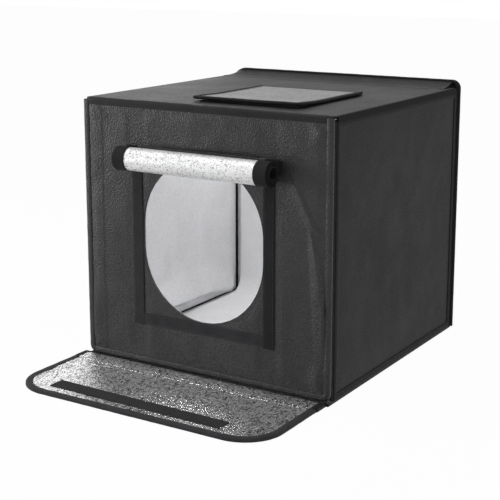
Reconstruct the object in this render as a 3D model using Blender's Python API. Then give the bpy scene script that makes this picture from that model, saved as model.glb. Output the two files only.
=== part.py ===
"""Foldable light tent cube, built as separate sewn, boarded and taped pieces. Metres, +Z up.

The origin is the centre of the floor panel's underside. X runs along the front face, Y goes to the back.
Every panel is a sandwich of a leather-cloth cover, a stiffening board and a silver lining, with its edges in
a folded tape. The panels hinge on sewn seams, each with a thin cord on its axis.
"""

import math

import bmesh
import bpy
from mathutils import Matrix, Vector

# Overall size of the closed tent
cube_width = 0.400
cube_depth = 0.400
cube_height = 0.380

# Layers of a boarded panel
cover_cloth = 0.0008
stiff_board = 0.0020
silver_lining = 0.0006
ply_gap = 0.0003
edge_tape = 0.0007
edge_tape_width = 0.009

# Seams and the clearances beside them
seam_radius = 0.0010
panel_gap = 0.0003
board_drop = 0.0007
seat_gap = 0.0006

# Floor panel
floor_side_inset = 0.0010

# Back panel, which stands up past the tent as a bound ridge
ridge_height = 0.011
ridge_overhang = 0.004
ridge_left_radius = 0.024
ridge_right_radius = 0.012
side_seam_setback = 0.0066
top_seam_below_ridge = 0.0015
seam_cord_bend = 0.006

# Top panel
cutter_overrun = 0.004
gusset_run = 0.0055
gusset_start_gap = 0.0005
top_corner_radius = 0.008

# Front door and its window
door_floor_gap = 0.0006
door_bottom_radius = 0.010
door_top_radius = 0.006
window_radius = 0.0975
window_straight = 0.031
window_centre_below_seam = 0.127
loop_strip_width = 0.017
loop_strip_thickness = 0.0010
loop_strip_clearance = 0.0010
loop_strip_overrun = 0.0015
loop_bottom_clearance = 0.0005
bottom_strip_height = 0.016
closure_thickness = 0.0010
closure_width = 0.0045
closure_end_margin = 0.026

# Window cover, rolled up and outward in front of the door
roll_outer_radius = 0.0178
roll_pitch = 0.0028
roll_turns = 3.4
roll_centre_below_seam = 0.0165
roll_face_gap = 0.0022
roll_silver_length = 0.2065
roll_band_width = 0.019
roll_shift = -0.00125
roll_shell_cloth = 0.0009
roll_seam_below_top = 0.060
seam_strip_height = 0.0065
seam_strip_thickness = 0.0012
seam_strip_length = 0.205
roll_seam_standoff = 0.0010
roll_steps_per_turn = 24

# Top hatch
hatch_width = 0.172
hatch_length = 0.178
hatch_centre_x = 0.042
hatch_front_margin = 0.040
hatch_overlap = 0.028
hatch_opening_radius = 0.012
hatch_corner_radius = 0.008
hatch_cloth = 0.0010
hatch_tape_width = 0.006
hatch_hook_thickness = 0.0008
hatch_hook_width = 0.016
hatch_hook_inset = 0.009
hatch_hinge_strip_run = 0.014
hatch_hinge_strip_foot = 0.0007
hatch_hinge_strip_inset = 0.006
hatch_hinge_gap = 0.0006

# Closing flap on the ground in front
flap_board = 0.0010
flap_overhang = 0.001
flap_shift = -0.005
flap_depth = 0.1390
flap_corner_radius = 0.055
flap_tape_width = 0.009
spine_depth = 0.0250
flap_hinge_setback = 0.0033
flap_hook_length = 0.277
flap_hook_width = 0.024
flap_hook_thickness = 0.0012
flap_hook_front_margin = 0.022
flap_hook_centre_x = -0.014

# Light bars under the top
bar_end_margin = 0.025
bar_width = 0.020
bar_height = 0.010
bar_wall = 0.0012
bar_board_thickness = 0.0016
bar_side_clearance = 0.0005
front_bar_margin = 0.036
rear_bar_margin = 0.072
bar_cap_thickness = 0.0045
bar_socket_radius = 0.003
bar_socket_rise = 0.0044
lamp_count = 22
lamp_length = 0.0050
lamp_width = 0.0050
lamp_height = 0.0016
lamp_seat = 0.0005
lamp_row_end_margin = 0.010

# Backdrop sheet
backdrop_sheet = 0.0006
backdrop_side_margin = 0.012
backdrop_top_below_ceiling = 0.012
backdrop_sweep_radius = 0.030
backdrop_front_margin = 0.012
backdrop_tape_length = 0.300
backdrop_tape_width = 0.020
backdrop_tape_thickness = 0.0009
backdrop_tape_top_inset = 0.003

# Outline resolution
corner_steps = 6
flap_corner_steps = 9
socket_steps = 12
window_steps = 20
sweep_steps = 8

# Sizes that follow from the ones above
half_width = cube_width / 2
half_depth = cube_depth / 2
stack = cover_cloth + stiff_board + silver_lining + 2 * ply_gap
tape_proud = edge_tape + ply_gap
seam_keep = seam_radius + ply_gap
panel_inner = stack + tape_proud
side_seam_y = half_depth - side_seam_setback
top_seam_z = cube_height + ridge_height - top_seam_below_ridge
side_half_depth = side_seam_y - seam_keep
side_bottom = stack + panel_gap
side_top = cube_height - panel_inner - panel_gap
top_front = -(half_depth - seam_keep)
top_rear = side_seam_y - gusset_run - gusset_start_gap
ceiling = cube_height - stack
bar_length = cube_width - 2 * bar_end_margin
backdrop_width = cube_width - 2 * backdrop_side_margin
flap_width = cube_width + 2 * flap_overhang
flap_stack = cover_cloth + flap_board + silver_lining + 2 * ply_gap
flap_thickness = flap_stack + 2 * tape_proud
flap_seam_y = -(half_depth + flap_hinge_setback)
crease_y = flap_seam_y - spine_depth
roll_seam_height = cube_height - roll_seam_below_top
roll_centre_height = roll_seam_height - roll_centre_below_seam
window_centre_height = roll_seam_height - window_centre_below_seam
roll_centre_y = -(half_depth + roll_outer_radius + roll_face_gap)
roll_seam_y = -(half_depth + roll_seam_standoff)
hatch_front = -(half_depth - hatch_front_margin)
hatch_rear = hatch_front + hatch_length
hatch_left = hatch_centre_x - hatch_width / 2
hatch_right = hatch_centre_x + hatch_width / 2
hatch_hook_low = cube_height + ply_gap
hatch_hook_high = hatch_hook_low + hatch_hook_thickness + ply_gap
hatch_lining_low = hatch_hook_high + hatch_hook_thickness + ply_gap
hatch_cover_low = hatch_lining_low + silver_lining + ply_gap
hatch_cover_high = hatch_cover_low + hatch_cloth
hatch_seam_z = hatch_cover_high + tape_proud
hatch_seam_y = hatch_rear + ply_gap


def quarter_turns(x, y, z):
    """A rotation by whole quarter turns about X, then Y, then Z."""
    turn = Matrix.Identity(4)
    for axis, quarters in (("X", x), ("Y", y), ("Z", z)):
        turn = Matrix.Rotation(math.radians(90 * quarters), 4, axis) @ turn
    return turn


# A panel's frame has its origin on the outer face and its local Z pointing out of the tent
frames = {
    "ground": Matrix.Identity(4),
    "top": Matrix.Translation((0, 0, cube_height)),
    "front": Matrix.Translation((0, -half_depth, 0)) @ quarter_turns(1, 0, 0),
    "right": Matrix.Translation((half_width, 0, 0)) @ quarter_turns(1, 0, 1),
    "left": Matrix.Translation((-half_width, 0, 0)) @ quarter_turns(1, 0, 3),
    "back": Matrix.Translation((0, half_depth, 0)) @ quarter_turns(1, 0, 2),
    "section": quarter_turns(1, 0, 1),
    "cross_section": quarter_turns(1, 0, 0),
}

# Where each moving body turns; the floor is the body that stays put
pivots = {
    "floor": Vector((0, 0, 0)),
    "back": Vector((0, half_depth, seam_radius)),
    "left_side": Vector((-half_width, side_seam_y, cube_height / 2)),
    "right_side": Vector((half_width, side_seam_y, cube_height / 2)),
    "top": Vector((0, side_seam_y, top_seam_z)),
    "door": Vector((0, -half_depth, cube_height)),
    "window_roll": Vector((0, roll_seam_y, roll_seam_height)),
    "hatch": Vector((hatch_centre_x, hatch_seam_y, hatch_seam_z)),
    "flap_spine": Vector((0, flap_seam_y, flap_thickness)),
    "closing_flap": Vector((0, crease_y, flap_thickness)),
}
body_parents = {
    "back": "floor",
    "left_side": "back",
    "right_side": "back",
    "top": "back",
    "door": "top",
    "window_roll": "door",
    "hatch": "top",
    "flap_spine": "floor",
    "closing_flap": "flap_spine",
}

# Colour, roughness and metallic value of each material
finishes = {
    "leathercloth": ((0.045, 0.045, 0.048), 0.55, 0.0),
    "grey_leathercloth": ((0.13, 0.13, 0.135), 0.6, 0.0),
    "binding": ((0.012, 0.012, 0.013), 0.8, 0.0),
    "hook_tape": ((0.010, 0.010, 0.011), 0.9, 0.0),
    "silver": ((0.72, 0.72, 0.73), 0.32, 0.8),
    "panel_board": ((0.55, 0.53, 0.5), 0.7, 0.0),
    "backdrop_white": ((0.86, 0.86, 0.86), 0.5, 0.0),
    "bar_aluminium": ((0.77, 0.78, 0.8), 0.35, 1.0),
    "bar_board": ((0.86, 0.87, 0.86), 0.45, 0.0),
    "cap_plastic": ((0.02, 0.02, 0.02), 0.5, 0.0),
}


def clear_scene():
    for obj in list(bpy.data.objects):
        bpy.data.objects.remove(obj, do_unlink=True)


def new_collection(name, hidden=False):
    collection = bpy.data.collections.new(name)
    bpy.context.scene.collection.children.link(collection)
    collection.hide_render = hidden
    return collection


def new_material(name):
    colour, roughness, metallic = finishes[name]
    material = bpy.data.materials.new(name)
    material.use_nodes = True
    shader = material.node_tree.nodes["Principled BSDF"]
    shader.inputs["Base Color"].default_value = (*colour, 1.0)
    shader.inputs["Roughness"].default_value = roughness
    shader.inputs["Metallic"].default_value = metallic
    return material


clear_scene()
parts = new_collection("light_tent_cube")
guides = new_collection("guides", hidden=True)
body_empties = {}


def body_empty(body):
    """The empty on the body's hinge axis, parented to the empty of the body that carries it."""
    if body in body_empties:
        return body_empties[body]
    empty = bpy.data.objects.new(f"{body}_pivot", None)
    parts.objects.link(empty)
    carrier = body_parents.get(body)
    empty.location = pivots[body]
    if carrier:
        empty.parent = body_empty(carrier)
        empty.location = pivots[body] - pivots[carrier]
    body_empties[body] = empty
    return empty


def add_part(obj, body, finish, world=None):
    """Puts an object in the collection, on its body and in its own material."""
    parts.objects.link(obj)
    obj.parent = body_empty(body)
    obj.matrix_basis = Matrix.Translation(-pivots[body]) @ (world or Matrix.Identity(4))
    material = new_material(finish)
    material.name = f"{obj.name}_{finish}"
    obj.data.materials.append(material)
    return obj


def rectangle(x_low, x_high, y_low, y_high):
    return [(x_low, y_low), (x_high, y_low), (x_high, y_high), (x_low, y_high)]


def arc(centre_x, centre_y, radius, start, end, steps):
    points = []
    for step in range(steps + 1):
        angle = math.radians(start + (end - start) * step / steps)
        points.append((centre_x + radius * math.cos(angle), centre_y + radius * math.sin(angle)))
    return points


def rounded_rectangle(x_low, x_high, y_low, y_high, low_radius, high_radius):
    """A rectangle whose two corners at low Y have one radius, and the two at high Y another."""
    points = arc(x_low + low_radius, y_low + low_radius, low_radius, 180, 270, corner_steps)
    points += arc(x_high - low_radius, y_low + low_radius, low_radius, 270, 360, corner_steps)
    if high_radius:
        points += arc(x_high - high_radius, y_high - high_radius, high_radius, 0, 90, corner_steps)
        points += arc(x_low + high_radius, y_high - high_radius, high_radius, 90, 180, corner_steps)
    else:
        points += [(x_high, y_high), (x_low, y_high)]
    return points


def window_outline():
    """The window's outline: two half circles joined by short straight sides."""
    top_y = window_centre_height + window_straight / 2
    bottom_y = window_centre_height - window_straight / 2
    points = arc(0, top_y, window_radius, 0, 180, window_steps)
    points += arc(0, bottom_y, window_radius, 180, 360, window_steps)
    return points


def outline_curve(name, loops, closed=True):
    curve = bpy.data.curves.new(name, "CURVE")
    curve.dimensions = "2D"
    curve.fill_mode = "NONE"
    for loop in loops:
        spline = curve.splines.new("POLY")
        spline.points.add(len(loop) - 1)
        for point, (x, y) in zip(spline.points, loop):
            point.co = (x, y, 0, 1)
        spline.use_cyclic_u = closed
    return curve


def flat_piece(name, loops, levels, frame, body, finish):
    """A sheet with the outline and holes in loops, between two levels of a frame's Z."""
    low, high = levels
    curve = outline_curve(name, loops)
    curve.fill_mode = "BOTH"
    curve.extrude = (high - low) / 2
    obj = bpy.data.objects.new(name, curve)
    raised = Matrix.Translation((0, 0, (low + high) / 2))
    return add_part(obj, body, finish, frames[frame] @ raised)


def folded_tape(name, path, closed, levels, width, frame, body, finish):
    """Tape folded over the edge of a stack of layers between two levels. The path follows that edge."""
    low, high = levels
    inner = (high - low) / 2 + ply_gap
    outer = inner + edge_tape
    fold = [(width, -outer), (-tape_proud, -outer), (-tape_proud, outer), (width, outer)]
    fold += [(width, inner), (-ply_gap, inner), (-ply_gap, -inner), (width, -inner)]
    if not closed:
        # Blender turns the profile the other way round on an open path
        fold = [(-x, z) for x, z in fold[::-1]]
    curve = outline_curve(name, [path], closed)
    curve.bevel_mode = "OBJECT"
    curve.bevel_object = guide_object(f"{name}_profile", outline_curve(f"{name}_profile", [fold]))
    curve.use_fill_caps = not closed
    obj = bpy.data.objects.new(name, curve)
    raised = Matrix.Translation((0, 0, (low + high) / 2))
    return add_part(obj, body, finish, frames[frame] @ raised)


def folded_section(side, near, far, wall, lip_wall, lip):
    """The section of cloth round both side edges of a panel. Its lips lie over the far face."""
    outwards = math.copysign(1, far - near)
    near_inner = near + outwards * wall
    far_inner = far - outwards * lip_wall
    right = [(side, near), (side, far), (side - lip, far)]
    right += [(side - lip, far_inner), (side - wall, far_inner), (side - wall, near_inner)]
    left = [(-x, z) for x, z in right[::-1]]
    return right + left


def guide_object(name, data):
    """A hidden object that gives another one its profile, or that cuts it or joins it."""
    guide = bpy.data.objects.new(name, data)
    guides.objects.link(guide)
    guide.hide_render = True
    guide.display_type = "WIRE"
    return guide


def combine(obj, tool, operation):
    modifier = obj.modifiers.new(tool.name, "BOOLEAN")
    modifier.operation = operation
    modifier.solver = "EXACT"
    modifier.object = tool


def box_mesh(name, boxes):
    """A mesh of boxes, each given as its low and high corner."""
    mesh = bpy.data.meshes.new(name)
    shape = bmesh.new()
    for low, high in boxes:
        middle = (Vector(low) + Vector(high)) / 2
        size = Vector(high) - Vector(low)
        place = Matrix.Translation(middle) @ Matrix.Diagonal((*size, 1))
        bmesh.ops.create_cube(shape, size=1, matrix=place)
    shape.to_mesh(mesh)
    shape.free()
    return mesh


def prism_mesh(name, outline, low, high):
    """A closed outline in X and Y, raised from one Z to another."""
    mesh = bpy.data.meshes.new(name)
    shape = bmesh.new()
    floor = shape.faces.new([shape.verts.new((x, y, low)) for x, y in outline])
    raised = bmesh.ops.extrude_face_region(shape, geom=[floor])
    moved = [item for item in raised["geom"] if isinstance(item, bmesh.types.BMVert)]
    bmesh.ops.translate(shape, verts=moved, vec=(0, 0, high - low))
    bmesh.ops.recalc_face_normals(shape, faces=shape.faces)
    shape.to_mesh(mesh)
    shape.free()
    return mesh


def seam_cord(name, points, body, finish):
    """A thin cord through the points of its seam."""
    curve = bpy.data.curves.new(name, "CURVE")
    curve.dimensions = "3D"
    curve.bevel_depth = seam_radius
    curve.bevel_resolution = 2
    curve.use_fill_caps = True
    spline = curve.splines.new("POLY")
    spline.points.add(len(points) - 1)
    for point, place in zip(spline.points, points):
        point.co = (*place, 1)
    return add_part(bpy.data.objects.new(name, curve), body, finish)


def layers_up(start, thicknesses):
    """The levels of layers laid on each other from a start level, with a gap between each two."""
    levels = []
    for thickness in thicknesses:
        levels.append((start, start + thickness))
        start += thickness + ply_gap
    return levels


def boarded_panel(panel, frame, body, loops, cover_loops):
    """The three layers of a panel, from its outer face in."""
    lining, board, cover = layers_up(-stack, (silver_lining, stiff_board, cover_cloth))
    flat_piece(f"{panel}_cover", cover_loops, cover, frame, body, "leathercloth")
    flat_piece(f"{panel}_board", loops, board, frame, body, "panel_board")
    flat_piece(f"{panel}_lining", loops, lining, frame, body, "silver")


def build_floor():
    """The floor panel. Its cover turns up round the board, and in front as far as the closing flap's seam."""
    side = half_width - floor_side_inset
    front = flap_seam_y + ply_gap
    rear = half_depth - seam_keep
    cover, board, lining = layers_up(0, (cover_cloth, stiff_board, silver_lining))
    turned_up = front + cover_cloth
    fold = [(front, 0), (rear, 0), (rear, stack), (turned_up, stack)]
    fold += [(turned_up, flap_thickness), (front, flap_thickness)]
    tray = bpy.data.objects.new("floor_cover", prism_mesh("floor_cover", fold, -side, side))
    add_part(tray, "floor", "leathercloth", frames["section"])
    inner = side - cover_cloth
    hollow = ((-inner, turned_up, cover[1]), (inner, rear + cutter_overrun, stack + cutter_overrun))
    combine(tray, guide_object("floor_cover_hollow", box_mesh("floor_cover_hollow", [hollow])), "DIFFERENCE")
    edge = inner - ply_gap
    outline = rectangle(-edge, edge, -half_depth, rear)
    flat_piece("floor_board", [outline], board, "ground", "floor", "panel_board")
    flat_piece("floor_lining", [outline], lining, "ground", "floor", "silver")


def build_flap_spine():
    """The narrow strip between floor and closing flap, with its cover folded round a silver pad."""
    rear = flap_seam_y - ply_gap
    front = crease_y + seam_keep
    side = flap_width / 2
    section = folded_section(side, 0, flap_thickness, cover_cloth, edge_tape, flap_tape_width)
    fold = [(x + flap_shift, z) for x, z in section]
    flat_piece("flap_spine_cover", [fold], (-rear, -front), "cross_section", "flap_spine", "leathercloth")
    pad_side = side - cover_cloth - ply_gap
    pad_left = flap_shift - pad_side
    pad_right = flap_shift + pad_side
    pad_levels = (cover_cloth + ply_gap, flap_thickness - edge_tape - ply_gap)
    pad = rectangle(pad_left, pad_right, front, rear)
    flat_piece("flap_spine_pad", [pad], pad_levels, "ground", "flap_spine", "silver")
    cord_z = flap_thickness - seam_radius
    cord = [(pad_left, crease_y, cord_z), (pad_right, crease_y, cord_z)]
    seam_cord("flap_crease_seam", cord, "flap_spine", "silver")


def build_closing_flap():
    side = flap_width / 2 - tape_proud
    left = flap_shift - side
    right = flap_shift + side
    front = crease_y - flap_depth + tape_proud
    rear = crease_y - seam_keep
    radius = flap_corner_radius
    outline = [(left, rear)]
    outline += arc(left + radius, front + radius, radius, 180, 270, flap_corner_steps)
    outline += arc(right - radius, front + radius, radius, 270, 360, flap_corner_steps)
    outline.append((right, rear))
    cover, board, lining = layers_up(tape_proud, (cover_cloth, flap_board, silver_lining))
    flat_piece("flap_cover", [outline], cover, "ground", "closing_flap", "leathercloth")
    flat_piece("flap_board", [outline], board, "ground", "closing_flap", "panel_board")
    flat_piece("flap_lining", [outline], lining, "ground", "closing_flap", "silver")
    levels = (tape_proud, lining[1])
    width = flap_tape_width - tape_proud
    folded_tape("flap_binding", outline, False, levels, width, "ground", "closing_flap", "binding")
    hook_low = crease_y - flap_depth + flap_hook_front_margin
    hook_left = flap_hook_centre_x - flap_hook_length / 2
    hook = rectangle(hook_left, hook_left + flap_hook_length, hook_low, hook_low + flap_hook_width)
    hook_levels = layers_up(lining[1] + ply_gap, (flap_hook_thickness,))[0]
    flat_piece("flap_hook_strip", [hook], hook_levels, "ground", "closing_flap", "hook_tape")


def back_outline(bottom):
    """The back panel's edge, up one side, over both rounded corners and down the other side."""
    side = half_width + ridge_overhang - tape_proud
    top = cube_height + ridge_height - tape_proud
    left = ridge_left_radius
    right = ridge_right_radius
    points = [(side, bottom)]
    points += arc(side - left, top - left, left, 0, 90, corner_steps)
    points += arc(-side + right, top - right, right, 90, 180, corner_steps)
    points.append((-side, bottom))
    return points


def build_back():
    board_edge = back_outline(stack + board_drop)
    cover_edge = back_outline(seam_radius + seam_keep)
    boarded_panel("back", "back", "back", [board_edge], [cover_edge])
    width = edge_tape_width - tape_proud
    folded_tape("back_binding", board_edge, False, (-stack, 0), width, "back", "back", "binding")
    side = half_width - floor_side_inset
    bottom = [(-side, half_depth, seam_radius), (side, half_depth, seam_radius)]
    seam_cord("back_bottom_seam_cord", bottom, "back", "binding")
    bend = seam_cord_bend
    bend_z = top_seam_z - bend
    around = [(half_width, side_bottom)]
    around += arc(half_width - bend, bend_z, bend, 0, 90, corner_steps)
    around += arc(-half_width + bend, bend_z, bend, 90, 180, corner_steps)
    around.append((-half_width, side_bottom))
    cord = [(x, side_seam_y, z) for x, z in around]
    seam_cord("back_seam_cord", cord, "back", "binding")


def build_side(panel, frame, front_sign):
    """One side panel. front_sign is the direction of the tent's front along the face frame's X."""
    half = side_half_depth - tape_proud
    bottom = side_bottom + tape_proud
    top = side_top - tape_proud
    outline = rectangle(-half, half, bottom, top)
    boarded_panel(panel, frame, panel, [outline], [outline])
    width = edge_tape_width - tape_proud
    folded_tape(f"{panel}_binding", outline, True, (-stack, 0), width, frame, panel, "binding")
    near = side_half_depth + ply_gap
    ends = sorted((front_sign * near, front_sign * (near + closure_thickness)))
    strip = rectangle(*ends, bottom + closure_end_margin, top - closure_end_margin)
    low = seat_gap - panel_inner
    levels = (low, low + closure_width)
    flat_piece(f"{panel}_hook_strip", [strip], levels, frame, panel, "hook_tape")


def hatch_opening():
    left = hatch_left + hatch_overlap
    right = hatch_right - hatch_overlap
    front = hatch_front + hatch_overlap
    rear = hatch_rear - hatch_overlap
    return rounded_rectangle(left, right, front, rear, hatch_opening_radius, hatch_opening_radius)


def hatch_tape():
    """The hatch's tape outline: up the left side, along the front and up the right side."""
    left = hatch_left + hatch_hook_inset
    right = hatch_right - hatch_hook_inset
    front = hatch_front + hatch_hook_inset
    rear = hatch_rear - hatch_hook_inset
    width = hatch_hook_width
    outer = [(left, rear), (left, front), (right, front), (right, rear)]
    inner = [(right - width, rear), (right - width, front + width)]
    inner += [(left + width, front + width), (left + width, rear)]
    return outer + inner


def build_top_cover():
    """The top's cover, folded round the side edges of the board, with its front corners rounded."""
    fold = folded_section(
        half_width, cube_height, cube_height - panel_inner, cover_cloth, edge_tape, edge_tape_width
    )
    mesh = prism_mesh("top_cover", fold, -top_rear, -top_front)
    cover = bpy.data.objects.new("top_cover", mesh)
    add_part(cover, "top", "leathercloth", frames["cross_section"])
    low = ceiling - cutter_overrun
    high = cube_height + cutter_overrun
    cutter = prism_mesh("hatch_opening_cutter", hatch_opening(), low, high)
    combine(cover, guide_object("hatch_opening_cutter", cutter), "DIFFERENCE")
    rear = top_rear + cutter_overrun
    outline = rounded_rectangle(-half_width, half_width, top_front, rear, top_corner_radius, 0)
    corners = prism_mesh("top_corner_cutter", outline, low - edge_tape_width, high)
    combine(cover, guide_object("top_corner_cutter", corners), "INTERSECT")


def build_gusset():
    """The strip of cloth that rises from the top panel to the seam below the ridge."""
    foot = Vector((top_rear + gusset_start_gap, cube_height - cover_cloth / 2))
    seam = Vector((side_seam_y, top_seam_z))
    along = (seam - foot).normalized()
    across = Vector((-along.y, along.x)) * cover_cloth / 2
    head = seam - along * seam_keep
    corners = (foot - across, head - across, head + across, foot + across)
    side = half_width - seam_cord_bend - seam_radius
    outline = [tuple(corner) for corner in corners]
    flat_piece("top_rear_gusset", [outline], (-side, side), "section", "top", "leathercloth")


def build_hatch_hinge_strip():
    """The strip of cloth behind the hatch, from the roof up to the hatch's seam."""
    near = hatch_seam_y + hatch_hinge_gap
    far = near + hatch_hinge_strip_run
    low = cube_height + ply_gap
    foot = hatch_hinge_strip_foot
    outline = [(near, low), (far, low), (far, low + foot)]
    outline += [(near + foot, hatch_seam_z - hatch_hinge_gap), (near, hatch_seam_z - hatch_hinge_gap)]
    ends = (hatch_left + hatch_hinge_strip_inset, hatch_right - hatch_hinge_strip_inset)
    flat_piece("hatch_hinge_strip", [outline], ends, "section", "top", "leathercloth")


def build_top():
    build_top_cover()
    side = half_width - cover_cloth - ply_gap
    outline = rounded_rectangle(-side, side, top_front, top_rear, top_corner_radius, 0)
    loops = [outline, hatch_opening()]
    lining, board = layers_up(-stack, (silver_lining, stiff_board))
    flat_piece("top_board", loops, board, "top", "top", "panel_board")
    flat_piece("top_lining", loops, lining, "top", "top", "silver")
    build_gusset()
    cord_end = half_width - top_corner_radius
    cord = [(-cord_end, -half_depth, cube_height), (cord_end, -half_depth, cube_height)]
    seam_cord("top_front_seam_cord", cord, "top", "leathercloth")
    levels = (hatch_hook_low, hatch_hook_low + hatch_hook_thickness)
    flat_piece("hatch_loop_tape", [hatch_tape()], levels, "ground", "top", "hook_tape")
    build_hatch_hinge_strip()


def build_hatch():
    left = hatch_left + tape_proud
    right = hatch_right - tape_proud
    front = hatch_front + tape_proud
    radius = hatch_corner_radius
    outline = [(left, hatch_rear)]
    outline += arc(left + radius, front + radius, radius, 180, 270, corner_steps)
    outline += arc(right - radius, front + radius, radius, 270, 360, corner_steps)
    outline.append((right, hatch_rear))
    lining = (hatch_lining_low, hatch_lining_low + silver_lining)
    cover = (hatch_cover_low, hatch_cover_high)
    flat_piece("hatch_lining", [outline], lining, "ground", "hatch", "silver")
    flat_piece("hatch_cover", [outline], cover, "ground", "hatch", "grey_leathercloth")
    levels = (hatch_lining_low, hatch_cover_high)
    folded_tape("hatch_binding", outline, False, levels, hatch_tape_width, "ground", "hatch", "binding")
    hooks = (hatch_hook_high, hatch_hook_high + hatch_hook_thickness)
    flat_piece("hatch_hook_tape", [hatch_tape()], hooks, "ground", "hatch", "hook_tape")


def lamp_boxes(middle_y, half, board_low):
    """The boxes of one bar's lamps, evenly spaced along its circuit board and seated in it."""
    lamps = []
    first = -half + lamp_row_end_margin
    step = 2 * (half - lamp_row_end_margin) / (lamp_count - 1)
    for index in range(lamp_count):
        x = first + index * step
        low = (x - lamp_length / 2, middle_y - lamp_width / 2, board_low - lamp_height)
        high = (x + lamp_length / 2, middle_y + lamp_width / 2, board_low + lamp_seat)
        lamps.append((low, high))
    return lamps


def build_light_bar(bar, middle_y):
    """One light bar: an aluminium channel open downwards, its board of lamps, and two end caps."""
    high = ceiling - ply_gap
    low = high - bar_height
    front = middle_y - bar_width / 2
    rear = middle_y + bar_width / 2
    half = bar_length / 2
    inner_half = half - bar_cap_thickness - ply_gap
    roof = high - bar_wall
    section = [(front, low), (front + bar_wall, low), (front + bar_wall, roof), (rear - bar_wall, roof)]
    section += [(rear - bar_wall, low), (rear, low), (rear, high), (front, high)]
    ends = (-inner_half, inner_half)
    flat_piece(f"{bar}_channel", [section], ends, "section", "top", "bar_aluminium")
    board_high = roof - ply_gap
    board_low = board_high - bar_board_thickness
    inset = bar_wall + bar_side_clearance
    board_box = ((-inner_half, front + inset, board_low), (inner_half, rear - inset, board_high))
    board = bpy.data.objects.new(f"{bar}_board", box_mesh(f"{bar}_board", [board_box]))
    add_part(board, "top", "bar_board")
    lamps = box_mesh(f"{bar}_lamps", lamp_boxes(middle_y, inner_half, board_low))
    combine(board, guide_object(f"{bar}_lamps", lamps), "UNION")
    cap = rectangle(front, rear, low, high)
    last = 360 - 360 / socket_steps
    socket = arc(middle_y, low + bar_socket_rise, bar_socket_radius, 0, last, socket_steps - 1)
    left = (-half, -half + bar_cap_thickness)
    right = (half - bar_cap_thickness, half)
    flat_piece(f"{bar}_left_cap", [cap], left, "section", "top", "cap_plastic")
    flat_piece(f"{bar}_socket_cap", [cap, socket], right, "section", "top", "cap_plastic")


def window_tape():
    """The loop tape beside and below the window, as one outline. Its side strips run past the bottom one."""
    inner = window_radius + loop_strip_clearance
    outer = inner + loop_strip_width
    high = window_centre_height - window_straight / 2 - window_radius - loop_bottom_clearance
    low = high - bottom_strip_height
    side_low = low - loop_strip_overrun
    side_high = roll_seam_height - seam_keep
    right = [(inner, low), (inner, side_low), (outer, side_low), (outer, side_high)]
    right += [(inner, side_high), (inner, high)]
    left = [(-x, z) for x, z in right[::-1]]
    return right + left


def build_door():
    side = half_width - tape_proud
    bottom = stack + door_floor_gap + tape_proud
    board_top = side_top - board_drop
    cover_top = cube_height - seam_keep
    window = window_outline()
    board = rounded_rectangle(-side, side, bottom, board_top, door_bottom_radius, door_top_radius)
    cover = rounded_rectangle(-side, side, bottom, cover_top, door_bottom_radius, top_corner_radius)
    boarded_panel("door", "front", "door", [board, window], [cover, window])
    tape_top = board_top - door_top_radius
    corners = rounded_rectangle(-side, side, bottom, tape_top, door_bottom_radius, 0)
    path = corners[-1:] + corners[:-1]
    width = edge_tape_width - tape_proud
    folded_tape("door_binding", path, False, (-stack, 0), width, "front", "door", "leathercloth")
    levels = layers_up(ply_gap, (loop_strip_thickness,))[0]
    flat_piece("window_loop_tape", [window_tape()], levels, "front", "door", "hook_tape")
    left = roll_shift - seam_strip_length / 2
    low = roll_seam_height + ply_gap
    seam = rectangle(left, left + seam_strip_length, low, low + seam_strip_height)
    levels = layers_up(ply_gap, (seam_strip_thickness,))[0]
    flat_piece("window_seam_strip", [seam], levels, "front", "door", "leathercloth")
    near = half_width - panel_inner + seat_gap
    far = near + closure_width
    low = bottom + closure_end_margin
    high = board_top - closure_end_margin
    inside = -(panel_inner + ply_gap)
    levels = (inside - closure_thickness, inside)
    for name, ends in (("left", (-far, -near)), ("right", (near, far))):
        strip = rectangle(*ends, low, high)
        flat_piece(f"door_{name}_loop_strip", [strip], levels, "front", "door", "hook_tape")


def roll_line(depth):
    """The rolled sheet's line at a depth below its outer face: down from its seam, then wound inwards."""
    steps = round(roll_turns * roll_steps_per_turn)
    points = [(roll_centre_y + roll_outer_radius - depth, roll_seam_height - seam_keep)]
    for step in range(steps + 1):
        turn = step / roll_steps_per_turn
        angle = -2 * math.pi * turn
        radius = roll_outer_radius - depth - roll_pitch * turn
        y = roll_centre_y + radius * math.cos(angle)
        z = roll_centre_height + radius * math.sin(angle)
        points.append((y, z))
    return points


def rolled_layer(name, outer, inner, ends, finish):
    outline = roll_line(outer) + roll_line(inner)[::-1]
    return flat_piece(name, [outline], ends, "section", "window_roll", finish)


def build_window_roll():
    """The window cover: leather cloth inside, silver outside, with a hook band round each end."""
    shell = silver_lining + ply_gap
    full = shell + roll_shell_cloth
    left = roll_shift - roll_silver_length / 2
    right = roll_shift + roll_silver_length / 2
    rolled_layer("window_cover_lining", 0, silver_lining, (left, right), "silver")
    rolled_layer("window_cover_shell", shell, full, (left, right), "leathercloth")
    left_end = left - ply_gap
    right_end = right + ply_gap
    rolled_layer("window_cover_left_band", 0, full, (left_end - roll_band_width, left_end), "binding")
    rolled_layer("window_cover_right_band", 0, full, (right_end, right_end + roll_band_width), "binding")


def backdrop_section():
    """The backdrop's section: down the back wall, round the sweep and forward over the floor."""
    face = half_depth - stack - ply_gap - backdrop_tape_thickness - ply_gap
    ground = stack + ply_gap
    top = ceiling - backdrop_top_below_ceiling
    front = -(half_depth - backdrop_front_margin)
    radius = backdrop_sweep_radius
    inner_radius = radius - backdrop_sheet
    centre = (face - radius, ground + radius)
    outer = [(face, top)] + arc(*centre, radius, 0, -90, sweep_steps) + [(front, ground)]
    inner = [(face - backdrop_sheet, top)] + arc(*centre, inner_radius, 0, -90, sweep_steps)
    inner.append((front, ground + backdrop_sheet))
    return outer + inner[::-1]


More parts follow.
